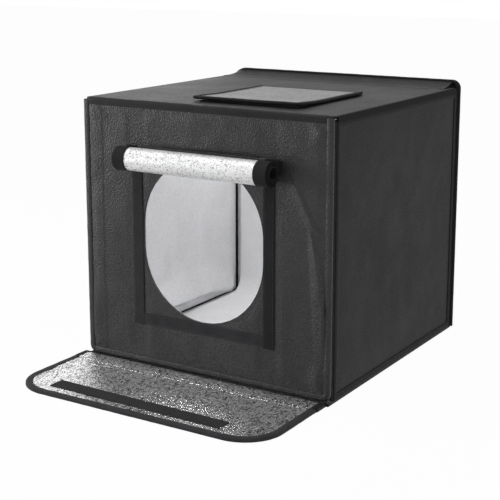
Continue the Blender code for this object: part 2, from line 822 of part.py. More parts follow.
def build_backdrop():
    half = backdrop_width / 2
    section = backdrop_section()
    flat_piece("backdrop_sheet", [section], (-half, half), "section", "back", "backdrop_white")
    half_tape = backdrop_tape_length / 2
    rear = half_depth - stack - ply_gap
    high = ceiling - backdrop_top_below_ceiling - backdrop_tape_top_inset
    tape = rectangle(rear - backdrop_tape_thickness, rear, high - backdrop_tape_width, high)
    flat_piece("backdrop_hook_tape", [tape], (-half_tape, half_tape), "section", "back", "hook_tape")


def build_tent():
    build_floor()
    build_flap_spine()
    build_closing_flap()
    build_back()
    build_side("left_side", "left", 1)
    build_side("right_side", "right", -1)
    build_top()
    build_light_bar("front_light_bar", front_bar_margin - half_depth)
    build_light_bar("rear_light_bar", half_depth - rear_bar_margin)
    build_door()
    build_window_roll()
    build_hatch()
    build_backdrop()


build_tent()
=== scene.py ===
"""Looks for the foldable light tent cube: its cloth, tapes, foil and light bars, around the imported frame.

Metres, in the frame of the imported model: X runs along the front face, Y goes to the back, Z is up.
A panel's own points are (right, up, out), with out pointing away from the tent.
"""

import math

import bpy
import numpy as np
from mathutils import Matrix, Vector


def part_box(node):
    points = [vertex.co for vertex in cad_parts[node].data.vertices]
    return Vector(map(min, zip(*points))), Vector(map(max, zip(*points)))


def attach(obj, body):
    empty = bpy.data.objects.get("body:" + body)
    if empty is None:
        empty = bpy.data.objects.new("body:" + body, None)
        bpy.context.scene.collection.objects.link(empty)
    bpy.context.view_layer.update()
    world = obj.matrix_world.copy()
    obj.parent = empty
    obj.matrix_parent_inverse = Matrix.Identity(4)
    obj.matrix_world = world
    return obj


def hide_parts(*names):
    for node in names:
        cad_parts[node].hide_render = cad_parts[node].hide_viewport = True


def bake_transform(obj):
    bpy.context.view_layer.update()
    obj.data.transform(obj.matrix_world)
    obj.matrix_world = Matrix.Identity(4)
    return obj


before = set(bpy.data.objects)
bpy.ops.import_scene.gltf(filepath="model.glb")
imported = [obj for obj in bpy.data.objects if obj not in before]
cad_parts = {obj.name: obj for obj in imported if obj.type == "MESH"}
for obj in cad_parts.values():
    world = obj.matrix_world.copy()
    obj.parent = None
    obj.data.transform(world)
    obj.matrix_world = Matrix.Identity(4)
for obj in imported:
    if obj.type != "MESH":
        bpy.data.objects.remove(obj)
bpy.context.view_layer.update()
MM = 0.001

# The box's half width, which is also its half depth, and its height
HALF, HEIGHT = 0.2, 0.38
# Thickness of leather cloth and of silver cloth, and a lining's level behind its panel's face
CLOTH, SILVER, LINING = 0.0008, 0.0006, -0.0040
# Middle and half thickness of a panel at its edge, which its binding folds over
EDGE = (-0.0020, 0.0023)
# How far a binding stands out past the edge that it folds over
PROUD = 0.001
# The usual width of a binding, its stitches' place in from the edge, and their levels outside and inside
BINDING, SEAM_IN, SEAM_OUTSIDE, SEAM_INSIDE = 0.0080, 0.0066, 0.0011, -0.0051


def panel(origin, right, up):
    """A panel's frame: its origin, then the world directions of right, up and out."""
    right = np.array(right, float)
    up = np.array(up, float)
    return np.array(origin, float), np.stack([right, up, np.cross(right, up)])


FRONT = panel((0, -HALF, 0), (1, 0, 0), (0, 0, 1))
RIGHT = panel((HALF, 0, 0), (0, 1, 0), (0, 0, 1))
LEFT = panel((-HALF, 0, 0), (0, -1, 0), (0, 0, 1))
BACK = panel((0, HALF, 0), (-1, 0, 0), (0, 0, 1))
TOP = panel((0, 0, HEIGHT), (1, 0, 0), (0, 1, 0))
GROUND = panel((0, 0, 0), (1, 0, 0), (0, 1, 0))


def to_world(points, where):
    origin, axes = where
    return origin + points @ axes


# Smooth repeatable forms


def noise(a, b, size, seed):
    """Smooth noise from -1 to 1 over two coordinates, with bumps of about that size."""
    table = np.random.default_rng(seed).uniform(-1, 1, (64, 64))
    u = np.asarray(a, float) / size + 1000
    v = np.asarray(b, float) / size + 1000
    i = np.floor(u).astype(int)
    j = np.floor(v).astype(int)
    f, g = (t * t * t * (t * (t * 6 - 15) + 10) for t in (u - i, v - j))
    low, high = (table[i % 64, k % 64] * (1 - f) + table[(i + 1) % 64, k % 64] * f for k in (j, j + 1))
    return low * (1 - g) + high * g


def line_noise(x, size, seed):
    """The same noise along a single line."""
    return noise(x, 0 * x, size, seed)


def rise(value, low, high):
    """A smooth step from 0 at low to 1 at high."""
    t = np.clip((value - low) / (high - low), 0, 1)
    return t * t * (3 - 2 * t)


def edge_gap(x, y, left, right, low, high):
    """How far inside a rectangle's nearest side a place lies."""
    return np.minimum(np.minimum(x - left, right - x), np.minimum(y - low, high - y))


def distances(points):
    """The distance along a line at each of its points."""
    return np.concatenate([[0], np.cumsum(np.linalg.norm(np.diff(points, axis=0), axis=1))])


def crease(x, y, points, left, right, taper=0.25):
    """A ridge along a line of points, with a width to its left and its right, fading at both of its ends."""
    points = np.array(points, float)
    starts = distances(points)
    best = np.full(np.shape(x), 1e9)
    share = np.zeros(np.shape(x))
    width = np.full(np.shape(x), left)
    for k, step in enumerate(np.diff(starts)):
        dx, dy = (points[k + 1] - points[k]) / step
        across, up = x - points[k, 0], y - points[k, 1]
        t = np.clip(across * dx + up * dy, 0, step)
        gap = np.hypot(across - t * dx, up - t * dy)
        nearer = gap < best
        best = np.where(nearer, gap, best)
        share = np.where(nearer, (starts[k] + t) / starts[-1], share)
        width = np.where(nearer, np.where(dx * up > dy * across, right, left), width)
    fade = rise(share, 0, taper) * rise(1 - share, 0, taper)
    return np.exp(-((best / width) ** 2)) * fade


# Lines of points


def unit(vectors):
    return vectors / np.linalg.norm(vectors, axis=-1, keepdims=True)


def between(wanted, places, values):
    """Rows of values, read off at the wanted places."""
    return np.stack([np.interp(wanted, places, column) for column in values.T], -1)


def loop_normals(loop, closed=False):
    """Unit normals to the left of a flat line of points."""
    ways = np.roll(loop, -1, 0) - np.roll(loop, 1, 0) if closed else np.gradient(loop, axis=0)
    return unit(np.stack([-ways[:, 1], ways[:, 0]], -1))


def along(loop, step, closed=False):
    """The line again, with points an even step apart."""
    if closed:
        loop = np.concatenate([loop, loop[:1]])
    places = distances(loop)
    wanted = np.linspace(0, places[-1], max(2, round(places[-1] / step)) + 1)
    return between(wanted[:-1] if closed else wanted, places, loop)


def arc(x, y, radius, start, end, steps):
    angles = np.radians(np.linspace(start, end, steps + 1))
    return np.stack([x + radius * np.cos(angles), y + radius * np.sin(angles)], -1)


def rounded(left, right, low, high, low_radius, high_radius, steps=12):
    """A rectangle with rounded corners, from its lower left round anticlockwise."""
    corners = [
        arc(left + low_radius, low + low_radius, low_radius, 180, 270, steps),
        arc(right - low_radius, low + low_radius, low_radius, 270, 360, steps),
        arc(right - high_radius, high - high_radius, high_radius, 0, 90, steps),
        arc(left + high_radius, high - high_radius, high_radius, 90, 180, steps),
    ]
    return np.concatenate(corners)


def open_edge(left, right, low, high, radius, steps=12):
    """Down a rectangle's left side, round its two lower corners and up its right side."""
    corners = rounded(left, right, low, high, radius, radius, steps)[: 2 * steps + 2]
    return np.concatenate([[(left, high)], corners, [(right, high)]])


def spread(low, high, step, edge=0.012, fine=5):
    """Positions from low to high, closer together near both ends."""
    near = edge * (np.arange(fine) / fine) ** 1.6
    middle = np.linspace(low + edge, high - edge, max(2, round((high - low - 2 * edge) / step) + 1))
    return np.concatenate([low + near, middle, (high - near)[::-1]])


def rounded_front(left, right, front, radius, steps, *further):
    """Rows of a rectangle with two rounded front corners, up to further rows, and the ends of any row."""

    def ends(v):
        short = min(max(front + radius - v, 0), radius)
        inset = radius - math.sqrt(max(radius**2 - short**2, 1e-9))
        return left + inset, right - inset

    corner = front + radius - radius * np.cos(np.linspace(0, np.pi / 2, steps))
    return np.concatenate([corner[:-1], *further]), ends


# Mesh building


def new_object(name, verts, faces, material, sharp=40):
    mesh = bpy.data.meshes.new(name)
    mesh.from_pydata(np.asarray(verts).tolist(), [], faces)
    mesh.shade_smooth()
    mesh.set_sharp_from_angle(angle=math.radians(sharp))
    mesh.materials.append(material)
    obj = bpy.data.objects.new(name, mesh)
    bpy.context.scene.collection.objects.link(obj)
    return obj


def grid_of(x, y, z):
    """A grid of points from three sets of values that fill its rows and columns together."""
    return np.stack(np.broadcast_arrays(x, y, z), -1)


def raised(flat, height):
    """A flat grid of points, each at the height of its place."""
    return np.dstack([flat, height(flat[:, :, 0], flat[:, :, 1])])


def grid_normals(grid, ring):
    ways = np.roll(grid, -1, 1) - np.roll(grid, 1, 1) if ring else np.gradient(grid, axis=1)
    normals = np.cross(ways, np.gradient(grid, axis=0))
    return normals / np.maximum(np.linalg.norm(normals, axis=2, keepdims=True), 1e-12)


def shell_data(grid, thickness, ring=False):
    """A closed thin solid under a grid of points, whose columns run right and rows up, seen from outside."""
    rows, cols = grid.shape[:2]
    count = rows * cols
    under = grid - grid_normals(grid, ring) * thickness
    verts = np.concatenate([grid.reshape(-1, 3), under.reshape(-1, 3)])
    numbers = np.arange(count).reshape(rows, cols)
    here, following = numbers, np.roll(numbers, -1, 1)
    if not ring:
        here, following = here[:, :-1], following[:, :-1]
    outer = np.stack([here[:-1], following[:-1], following[1:], here[1:]], -1).reshape(-1, 4)
    rims = [(following[0], here[0]), (here[-1], following[-1])]
    if not ring:
        rims += [(numbers[:-1, 0], numbers[1:, 0]), (numbers[1:, -1], numbers[:-1, -1])]
    rims = [np.stack([first, second, second + count, first + count], -1) for first, second in rims]
    return verts, np.concatenate([outer, outer[:, ::-1] + count, *rims]).tolist()


def shell(name, grid, where, thickness, material, ring=False):
    return new_object(name, *shell_data(to_world(grid, where), thickness, ring), material)


def tube_data(grid, closed=False):
    """A solid from rings of points, joined into a loop if closed and capped at both ends if not."""
    rows, cols = grid.shape[:2]
    here = np.arange(rows * cols).reshape(rows, cols)
    turned = np.roll(here, -1, 1)
    quads = np.stack([here, turned, np.roll(turned, -1, 0), np.roll(here, -1, 0)], -1)
    faces = quads[: rows if closed else rows - 1].reshape(-1, 4).tolist()
    if not closed:
        faces += [here[0, ::-1].tolist(), here[-1].tolist()]
    return grid.reshape(-1, 3), faces


def merged(pieces):
    """Several (verts, faces) as one."""
    verts = []
    faces = []
    offset = 0
    for piece_verts, piece_faces in pieces:
        verts.append(piece_verts)
        faces += [[index + offset for index in face] for face in piece_faces]
        offset += len(piece_verts)
    return np.concatenate(verts), faces


def cloth(name, where, rows, ends, height, thickness, material, step=0.004, inward=False):
    """A sheet of cloth on a panel. ends(v) gives its sides in row v, and height(u, v) gives its level."""
    usual_width = 0.39
    share = spread(0, 1, step / usual_width, 0.03)
    left, right = np.array([ends(v) for v in rows]).T[:, :, None]
    u, v = np.broadcast_arrays(left + (right - left) * share, rows[:, None])
    grid = grid_of(u, v, height(u, v))
    return shell(name, grid[:, ::-1] if inward else grid, where, thickness, material)


def fold_section(width, back, half, wall, puff):
    """The section of tape folded over an edge, all round it, as (distance in from the edge, level)."""
    turn = np.radians(np.linspace(90, 270, 13))
    lip = np.linspace(width, 0.0012, 6)
    swell = puff * np.sin(np.pi * np.clip(lip / width, 0, 1)) ** 0.7
    outer = half + wall
    top = np.stack([lip, outer + swell], -1)
    top[0] = (width, outer - 0.45 * wall)
    nose = np.stack([0.0006 + (PROUD + 0.0006) * np.cos(turn), (outer + 0.2 * puff) * np.sin(turn)], -1)
    bottom = top[::-1] * (back / width, -1)
    inside = np.array([(back, -half), (0.0, -half), (0.0, half), (width, half)])
    return np.concatenate([top, nose, bottom, inside])


def binding(
    name, where, loop, closed, middle, half, width, material, back=None, puff=0.0004, seed=1, lift=None
):
    """Tape folded over the edge of a panel to the left of the loop. back is the inner lip's width."""
    wall, step = 0.0007, 0.003
    loop = along(np.asarray(loop), step, closed)
    inwards, level = fold_section(width, back or width, half, wall, puff).T
    place = np.arange(len(loop)) * step
    pucker = line_noise(place, 0.011, seed) * 0.10 + line_noise(place, 0.004, seed + 1) * 0.05
    if closed:
        pucker *= rise(place, 0, 0.02) * rise(place[-1] - place, 0, 0.02)
    pucker = pucker[:, None]
    across = inwards * np.where(inwards > 0.004, 1 + 0.25 * pucker, 1 + pucker)
    flat = loop[:, None] + loop_normals(loop, closed)[:, None] * across[:, :, None]
    swell = np.where(np.abs(level) > half + 0.3 * wall, pucker * puff * 3, 0)
    height = middle + level + swell * np.sign(level)
    if lift:
        height += lift(flat[:, :, 0], flat[:, :, 1])
    return new_object(name, *tube_data(to_world(np.dstack([flat, height]), where), closed), material, 50)


def all_round(side, up, step):
    """Directions all round a line, a step of so many degrees apart."""
    turn = np.radians(np.arange(0, 360, step))[:, None]
    return side[:, None] * np.cos(turn) + up[:, None] * np.sin(turn)


def stitch_data(points, normals, length=0.0027, pitch=0.0040, radius=0.00026):
    """Small rounded stitches along a line in space."""
    places = distances(points)
    centres = np.arange(pitch, places[-1] - pitch / 2, pitch)
    behind, middle, ahead = (between(centres + shift, places, points) for shift in (-pitch / 8, 0, pitch / 8))
    up = unit(between(centres, places, normals))
    forward = unit(ahead - behind)
    around = all_round(np.cross(forward, up), up, 60)
    rings = []
    for offset, size, sink in ((-0.5, 0.35, -0.8), (-0.34, 0.95, 0.1), (0.34, 0.95, 0.1), (0.5, 0.35, -0.8)):
        centre = middle + forward * length * offset + up * radius * sink
        rings.append(centre[:, None] + radius * size * around)
    return merged([tube_data(one) for one in np.stack(rings, 1)])


def stitches(name, lines, material):
    """Rows of stitches, each given as points on the surface and the way out of it."""
    return new_object(name, *merged([stitch_data(*line) for line in lines]), material, 60)


def stitch_line(where, path, level, height=None, inset=0.0, side=1):
    """Points for a row of stitches on a panel, moved in from a path, and the way out of the cloth there."""
    flat = along(np.array(path, float), 0.002)
    if inset:
        flat = flat + loop_normals(flat) * inset
    levels = np.full(len(flat), level)
    if height:
        levels = levels + height(flat[:, 0], flat[:, 1])
    return to_world(np.column_stack([flat, levels]), where), np.tile(where[1][2] * side, (len(flat), 1))


def cord_tube(name, points, radius, material, seed):
    """A soft sewn cord along a line in space, a little uneven in thickness."""
    points = np.array(points, float)
    places = distances(points)
    wanted = np.linspace(0, places[-1], round(places[-1] / 0.004) + 1)
    line = between(wanted, places, points)
    forward = unit(np.gradient(line, axis=0))
    side = unit(np.cross(forward, (0.0, 1.0, 0.02)))
    size = radius * (1 + 0.08 * line_noise(wanted, 0.006, seed))
    grid = line[:, None] + size[:, None, None] * all_round(side, np.cross(side, forward), 36)
    return new_object(name, *tube_data(grid), material, 60)


def strip(
    name, where, left, right, low, high, base, thickness, material, height=None, seed=1, turned=False, rib=0
):
    """A flat strip of tape with slightly uneven edges and soft rims. Turned lays its length along u."""
    coarse, fine, rib_pitch, uneven, sunk = 0.003, 0.0007, 0.0034, 0.00025, 0.00025
    (start, end), (first, last) = ((left, right), (low, high)) if turned else ((low, high), (left, right))
    length = np.linspace(start, end, max(3, round((end - start) / (fine if rib else coarse))))
    place, across = np.meshgrid(length, np.linspace(first, last, 9), indexing="ij")
    share = (across - (first + last) / 2) / (last - first)
    across = across + share * 2 * uneven * line_noise(place, 0.012, seed)
    rim = np.minimum(across - first, last - across)
    level = base + thickness - sunk * (1 - rise(rim, 0, 0.0015))
    level = level + rib * np.sin(2 * np.pi * place / rib_pitch) * rise(rim, 0.001, 0.004)
    u, v, level = (place.T, across.T, level.T) if turned else (across, place, level)
    if height:
        level = level + height(u, v)
    return shell(name, grid_of(u, v, level), where, thickness * 0.92, material)


def ring_between(outer, inner, ways, offsets, rings):
    """Rows from an outer loop in: first at fixed offsets along the ways, then evenly to the inner loop."""
    rows = [outer + ways * offset for offset in offsets]
    start = rows[-1]
    rows += [start + (inner - start) * share for share in np.linspace(0, 1, rings + 1)[1:]]
    return np.stack(rows)


def piece(obj, body, nodes=(), slot=None):
    """Puts a piece on its body, in place of the nodes that it stands for. The slot is not used."""
    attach(obj, body)
    if nodes:
        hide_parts(*nodes)
    return obj


# Materials


class Nodes:
    """The node tree of a material or of the world, with short ways to add what the looks use."""

    def __init__(self, holder):
        holder.use_nodes = True
        self.holder = holder
        self.tree = holder.node_tree

    def node(self, kind, inputs=(), **settings):
        made = self.tree.nodes.new("ShaderNode" + kind)
        for key, value in settings.items():
            setattr(made, key, value)
        for key, value in dict(inputs).items():
            if isinstance(value, bpy.types.NodeSocket):
                self.tree.links.new(value, made.inputs[key])
            else:
                made.inputs[key].default_value = value
        return made

    def maths(self, operation, first, second):
        return self.node("Math", {0: first, 1: second}, operation=operation).outputs["Value"]

    def vectors(self, operation, first, second):
        return self.node("VectorMath", {0: first, 1: second}, operation=operation).outputs[0]

    def spans(self, value, low, high):
        """A 0 to 1 value, moved to between low and high."""
        return self.node("MapRange", {"Value": value, "To Min": low, "To Max": high}).outputs["Result"]

    def seen_by(self, *rays):
        """1 for a ray of one of these kinds, and 0 for any other."""
        path = self.node("LightPath")
        seen = path.outputs[rays[0]]
        for ray in rays[1:]:
            seen = self.maths("MAXIMUM", seen, path.outputs[ray])
        return seen

    def ends_in(self, kind, surface):
        """Gives the tree its only output, with this surface."""
        self.node(kind, {"Surface": surface.outputs[0]})


class Look(Nodes):
    """A material for a solid surface, patterned over the piece's own coordinates."""

    def __init__(self, name, metallic=0.0, specular=0.5, sheen=0.0):
        super().__init__(bpy.data.materials.new(name))
        self.shader = self.tree.nodes["Principled BSDF"]
        values = {"Metallic": metallic, "Specular IOR Level": specular, "Sheen Weight": sheen}
        for key, value in values.items():
            self.shader.inputs[key].default_value = value
        self.place = self.node("TexCoord").outputs["Object"]

    def noise(self, scale, detail, roughness=0.5, place=None, output="Fac"):
        inputs = {"Vector": place or self.place, "Scale": scale, "Detail": detail, "Roughness": roughness}
        return self.node("TexNoise", inputs).outputs[output]

    def cells(self, scale, randomness, place=None, **settings):
        inputs = {"Vector": place or self.place, "Scale": scale, "Randomness": randomness}
        return self.node("TexVoronoi", inputs, **settings).outputs

    def ramp(self, value, *stops):
        """A colour ramp between two plain colour stops: (position, (r, g, b))."""
        made = self.node("ValToRGB", {"Fac": value})
        for element, (position, colour) in zip(made.color_ramp.elements, stops):
            element.position = position
            element.color = (*colour, 1)
        return made.outputs["Color"]

    def mixed(self, first, second, share=1.0, blend="MULTIPLY"):
        inputs = {0: share, 6: first, 7: second}
        return self.node("Mix", inputs, data_type="RGBA", blend_type=blend).outputs[2]

    def bump(self, height, strength, distance, under=None):
        inputs = {"Height": height, "Strength": strength, "Distance": distance}
        if under:
            inputs["Normal"] = under
        return self.node("Bump", inputs).outputs["Normal"]

    def finished(self, colour, roughness, normal):
        """The material, with its three patterns wired to its shader."""
        for key, value in (("Base Color", colour), ("Roughness", roughness), ("Normal", normal)):
            self.tree.links.new(value, self.shader.inputs[key])
        return self.holder


def grey(level, blue=0.0):
    """A grey with a little more blue in it."""
    return level, level, level + blue


def leather(name, dark, light, pebble, roughness, depth, gloss):
    """Leather cloth with a pebbled grain, worn a little unevenly."""
    look = Look(name, specular=gloss)
    warp = look.noise(0.5 / pebble, 2.0, output="Color")
    moved = look.vectors("ADD", look.place, look.vectors("MULTIPLY", warp, (0.5 * pebble,) * 3))
    cells = look.cells(1 / pebble, 0.95, moved, feature="SMOOTH_F1")["Distance"]
    lumps = look.noise(0.42 / pebble, 3.0, 0.65)
    large = look.noise(13.0, 4.0, 0.6)
    tone = look.ramp(large, (0.3, dark), (0.72, light))
    worn = look.maths("ADD", look.spans(large, roughness[1], roughness[0]), look.spans(cells, -0.06, 0.10))
    raised_cells = look.maths("MULTIPLY", cells, -1.0)
    grain = look.bump(raised_cells, 0.9, depth, look.bump(lumps, 0.09, depth))
    return look.finished(look.mixed(tone, look.spans(cells, 1.7, 0.2)), worn, grain)


def foil(name, dark, light, cell, metallic, roughness, depth, painted_reflection_speck, stretch=(1, 1, 1)):
    """Reflective cloth with an embossed pebble, whose cells catch the light each in their own way, and whose
    dark cells are painted reflections of dark surroundings in the dimples.
    """
    look = Look(name, metallic)
    look.place = look.vectors("MULTIPLY", look.place, stretch)
    cells = look.cells(1 / cell, 1.0)
    small = look.cells(1.9 / cell, 1.0)
    chance, other = (look.node("SeparateColor", {"Color": kind["Color"]}).outputs for kind in (cells, small))
    halves = [look.maths("MULTIPLY", one, 0.5) for one in (chance["Red"], other["Green"])]
    # The dark cells of this tone are painted reflections of dark surroundings; the light cells are the
    # silver's own colour
    tone = look.ramp(look.maths("ADD", *halves), (0.18 + painted_reflection_speck, dark), (0.55 + painted_reflection_speck, light))
    shade = look.spans(look.noise(16.0, 3.0), 0.86, 1.08)
    emboss = look.bump(small["Distance"], 0.5, depth * 0.5, look.bump(cells["Distance"], 0.8, depth))
    return look.finished(look.mixed(tone, shade), look.spans(other["Red"], *roughness), emboss)


def woven(name, dark, light, pitch, roughness, depth, sheen):
    """Woven tape: a close grid of crossing threads."""
    look = Look(name, specular=0.2, sheen=sheen)
    threads = look.cells(1 / pitch, 0.25, distance="CHEBYCHEV")["Distance"]
    fine = look.noise(1400.0, 3.0)
    tone = look.ramp(look.noise(40.0, 3.0), (0.3, dark), (0.75, light))
    weave = look.bump(look.maths("MULTIPLY", threads, -1.0), 0.7, depth)
    worn = look.spans(fine, roughness - 0.1, roughness + 0.1)
    grain = look.bump(fine, 0.35, 0.0002, weave)
    return look.finished(look.mixed(tone, look.spans(threads, 1.2, 0.55)), worn, grain)


def moulded(name, low, high, scale, roughness, metallic=0.0, stretch=(1, 1, 1), depth=0.00008):
    """Moulded plastic, board, thread or metal with a fine surface."""
    look = Look(name, metallic)
    fine = look.noise(scale, 4.0, place=look.vectors("MULTIPLY", look.place, stretch))
    tone = look.ramp(look.noise(22.0, 3.0), (0.3, low), (0.7, high))
    worn = look.spans(fine, roughness - 0.08, roughness + 0.08)
    return look.finished(look.mixed(tone, look.spans(fine, 0.86, 1.12)), worn, look.bump(fine, 0.3, depth))


def lamp_board(name, board_low):
    """A white circuit board whose lamps, below a height, have yellow domes."""
    look = Look(name)
    fine = look.noise(700.0, 2.0)
    height = look.node("SeparateXYZ", {"Vector": look.place}).outputs["Z"]
    is_lamp = look.maths("LESS_THAN", height, board_low - 0.0002)
    white = look.ramp(fine, (0.3, (0.76, 0.78, 0.77)), (0.7, (0.84, 0.85, 0.84)))
    colour = look.mixed(white, (0.92, 0.72, 0.22, 1), is_lamp, "MIX")
    return look.finished(colour, look.spans(fine, 0.3, 0.42), look.bump(fine, 0.15, 0.0001))


# Name, darkest and lightest colour, size of the grain, roughness, depth of the grain, gloss
front_leather = leather(
    "front_leathercloth", grey(0.010, 0.001), grey(0.021, 0.002), 0.0020, (0.34, 0.48), 0.0007, 0.36
)
side_leather = leather(
    "side_leathercloth", grey(0.012, 0.001), grey(0.019, 0.002), 0.0016, (0.48, 0.62), 0.0003, 0.13
)
# A lighter copy of the leathercloth of the front and sides: painted light on the roof
lit_roof_leather = leather(
    "roof_leathercloth", grey(0.017), (0.028, 0.027, 0.027), 0.0016, (0.44, 0.56), 0.0003, 0.10
)
hatch_leather = leather("hatch_leathercloth_grey", grey(0.22), grey(0.28), 0.0014, (0.5, 0.62), 0.0004, 0.3)
shell_leather = leather(
    "roll_leathercloth", grey(0.014, 0.001), grey(0.030, 0.002), 0.0014, (0.4, 0.6), 0.0003, 0.4
)
# A darker copy of the cover leathercloth for the fold over the front edge: painted shade along the fold
shaded_fold_leather = leather(
    "fold_leathercloth", grey(0.006, 0.0002), grey(0.011, 0.0002), 0.0016, (0.46, 0.6), 0.0002, 0.2
)
# Name, darkest and lightest colour, pitch of the threads, roughness, depth of the weave, sheen
# Nearly black tape, darker than the binding tape: painted shade of the gap between the roof's edge and the
# sides
painted_shade_lip = woven("lip_tape", grey(0.0015, 0.0001), grey(0.0035, 0.0002), 0.0010, 0.85, 0.0003, 0.0)
tape_black = woven("binding_tape", grey(0.005, 0.001), grey(0.010, 0.001), 0.0010, 0.78, 0.0003, 0.02)
flap_tape = woven("flap_binding_tape", grey(0.026, 0.002), grey(0.036, 0.003), 0.0010, 0.78, 0.0003, 0.03)
hook_black = woven("hook_tape_pile", grey(0.009, 0.001), grey(0.017, 0.002), 0.0013, 0.88, 0.0006, 0.05)
loop_grey = woven("loop_tape_pile", grey(0.018, 0.002), grey(0.030, 0.003), 0.0012, 0.85, 0.0005, 0.1)
# Name, darkest and lightest colour, size of a cell, metal share, roughness, depth, how common the dark cells
# are, which are painted reflections
flap_silver = foil(
    "flap_silver_cloth", grey(0.05), grey(1.0), 0.0019, 0.74, (0.12, 0.28), 0.0008, 0.03, (1, 0.45, 1)
)
roll_silver = foil("roll_silver_cloth", grey(0.10), grey(0.90, 0.01), 0.0018, 0.35, (0.3, 0.5), 0.0004, -0.13)
wall_silver = foil(
    "wall_silver_cloth", grey(0.70, 0.01), grey(0.84, 0.01), 0.0016, 0.45, (0.30, 0.46), 0.0002, -0.05
)
# Name, darkest and lightest colour, fineness, roughness
thread_black = moulded("black_thread", grey(0.02, 0.001), grey(0.040, 0.002), 2500.0, 0.6)
thread_grey = moulded("grey_thread", grey(0.10), grey(0.18), 2500.0, 0.6)
backdrop_white = moulded(
    "backdrop_sheet_white", grey(0.80, 0.01), grey(0.86, 0.01), 500.0, 0.5, depth=0.00004
)
# Pulp board, darker than such board is, so that its edges read as shade where they show in the gaps between
# panels: its own grey with painted shade
shaded_board_grey = moulded("panel_board_pulp", (0.045, 0.043, 0.041), (0.07, 0.068, 0.065), 900.0, 0.8)
aluminium = moulded(
    "bar_aluminium_brushed", (0.70, 0.71, 0.73), (0.80, 0.81, 0.83), 900.0, 0.34, 1.0, (0.03, 1, 1)
)
cap_black = moulded("cap_plastic_black", grey(0.018, 0.001), grey(0.028, 0.002), 1300.0, 0.45)
bar_lamps = lamp_board("bar_lamp_board", 0.3726)


# Front door

DOOR_LEFT, DOOR_RIGHT, DOOR_LOW, DOOR_HIGH = -0.199, 0.199, 0.0056, 0.3787
DOOR_LINING_HIGH, DOOR_TAPE_HIGH, DOOR_CORNER = 0.3720, 0.3772, 0.0101
WINDOW_Z, WINDOW_R, WINDOW_HALF = 0.193, 0.0975, 0.0155
# The window's side tapes: inner, middle and outer line, and the seam over the window that they reach
TAPE_INNER, TAPE_MIDDLE, TAPE_OUTER, SEAM_Z = 0.0985, 0.107, 0.1155, 0.3187
# Lower and upper end of the hook strips and loop strips that close the door on the sides
STRIP_LOW, STRIP_HIGH = 0.0063, 0.3727
SHARP_FOLD = [
    (0.141, 0.303), (0.147, 0.289), (0.154, 0.277), (0.162, 0.2595), (0.173, 0.2386), (0.177, 0.224),
]
FORK_FOLD = [(0.168, 0.247), (0.176, 0.237), (0.184, 0.228)]
# The broad facet at the right: height, where its rise starts, its crest, how far out in millimetres
FACET = np.array([
    (0.040, 0.178, 0.190, 0.0),
    (0.070, 0.175, 0.190, 2.4),
    (0.101, 0.173, 0.190, 4.0),
    (0.131, 0.171, 0.1885, 4.4),
    (0.167, 0.168, 0.183, 3.9),
    (0.204, 0.165, 0.1764, 2.8),
    (0.239, 0.1655, 0.1675, 0.0),
])
# Swellings: place, size and height in millimetres
LUMPS = [
    ((0.184, 0.032), (0.014, 0.020), 3.0),
    ((0.180, 0.353), (0.012, 0.012), 1.3),
    ((-0.188, 0.066), (0.012, 0.030), 1.6),
    ((-0.185, 0.363), (0.010, 0.008), 0.9),
]
# How far in from the door's edge its first rows of points lie
EDGE_ROWS = (0, 0.0012, 0.0026, 0.0042, 0.0060, 0.0076, 0.0088)
# The doubled fold over the window, along its middle, and its section as (up, out) in millimetres
SEAM_FOLD = np.array([
    (-0.1035, 0.3172), (-0.0859, 0.3180), (-0.0617, 0.3196), (-0.0059, 0.3204), (0.0357, 0.3214),
    (0.0721, 0.3220), (0.0800, 0.3207), (0.0870, 0.3188), (0.0945, 0.3160), (0.1000, 0.3125),
])
SEAM_SECTION = np.array([
    (-2.4, 0), (-2.4, 1.5), (-2.0, 2.3), (-1.4, 2.4), (-0.8, 1.7), (0, 1.3),
    (0.8, 1.7), (1.4, 2.4), (2.0, 2.3), (2.4, 1.5), (2.4, 0),
]) * MM


def door_height(x, z):
    """How far the door's cover stands out of its plane: padding, long folds, puckers and soft waves."""
    edge = edge_gap(x, z, DOOR_LEFT, DOOR_RIGHT, DOOR_LOW, DOOR_HIGH)
    straight = np.clip(np.abs(z - WINDOW_Z) - WINDOW_HALF, 0, None)
    hole = np.hypot(x, straight) - WINDOW_R
    pad = rise(edge, 0.008, 0.022) * rise(hole, 0.0, 0.020)
    tape = rise(np.abs(np.abs(x) - TAPE_MIDDLE), 0.009, 0.022)
    height = 1.0 * pad
    height += 2.4 * crease(x, z, SHARP_FOLD, 0.0075, 0.0022)
    height += 1.4 * crease(x, z, FORK_FOLD, 0.0040, 0.0020)
    start, crest, peak = (np.interp(z, FACET[:, 0], FACET[:, k]) for k in (1, 2, 3))
    height += peak * np.clip((x - start) / (crest - start), 0, 1) * (1 - rise(x, crest, crest + 0.0040))
    for place, size, top in LUMPS:
        height += top * np.exp(-(((x - place[0]) / size[0]) ** 2) - ((z - place[1]) / size[1]) ** 2)
    height += 0.5 * rise(-x, 0.166, 0.169) * (1 - rise(-x, 0.188, 0.191))
    height += pad * (0.7 * noise(x, z, 0.055, 11) + 0.35 * noise(x, z, 0.021, 12))
    corner = rise(x, 0.150, 0.165) * rise(z, 0.325, 0.340)
    pucker = rise(edge, 0.006, 0.010) * (1 - rise(edge, 0.012, 0.040))
    height += pucker * ((0.45 + 0.5 * corner) * noise(x + z, 0.2 * (x - z), 0.012, 13))
    height *= 0.35 + 0.65 * tape * rise(hole, -0.001, 0.012)
    return np.clip(height, 0, None) * rise(edge, 0.006, 0.010) * MM


def door_lining_level(x, z):
    wave = 0.6 + 0.5 * noise(x, z, 0.05, 21) + 0.25 * noise(x, z, 0.02, 22)
    edge = edge_gap(x, z, DOOR_LEFT, DOOR_RIGHT, DOOR_LOW, DOOR_LINING_HIGH)
    return LINING - np.clip(wave, 0, None) * rise(edge, 0.010, 0.03) * MM


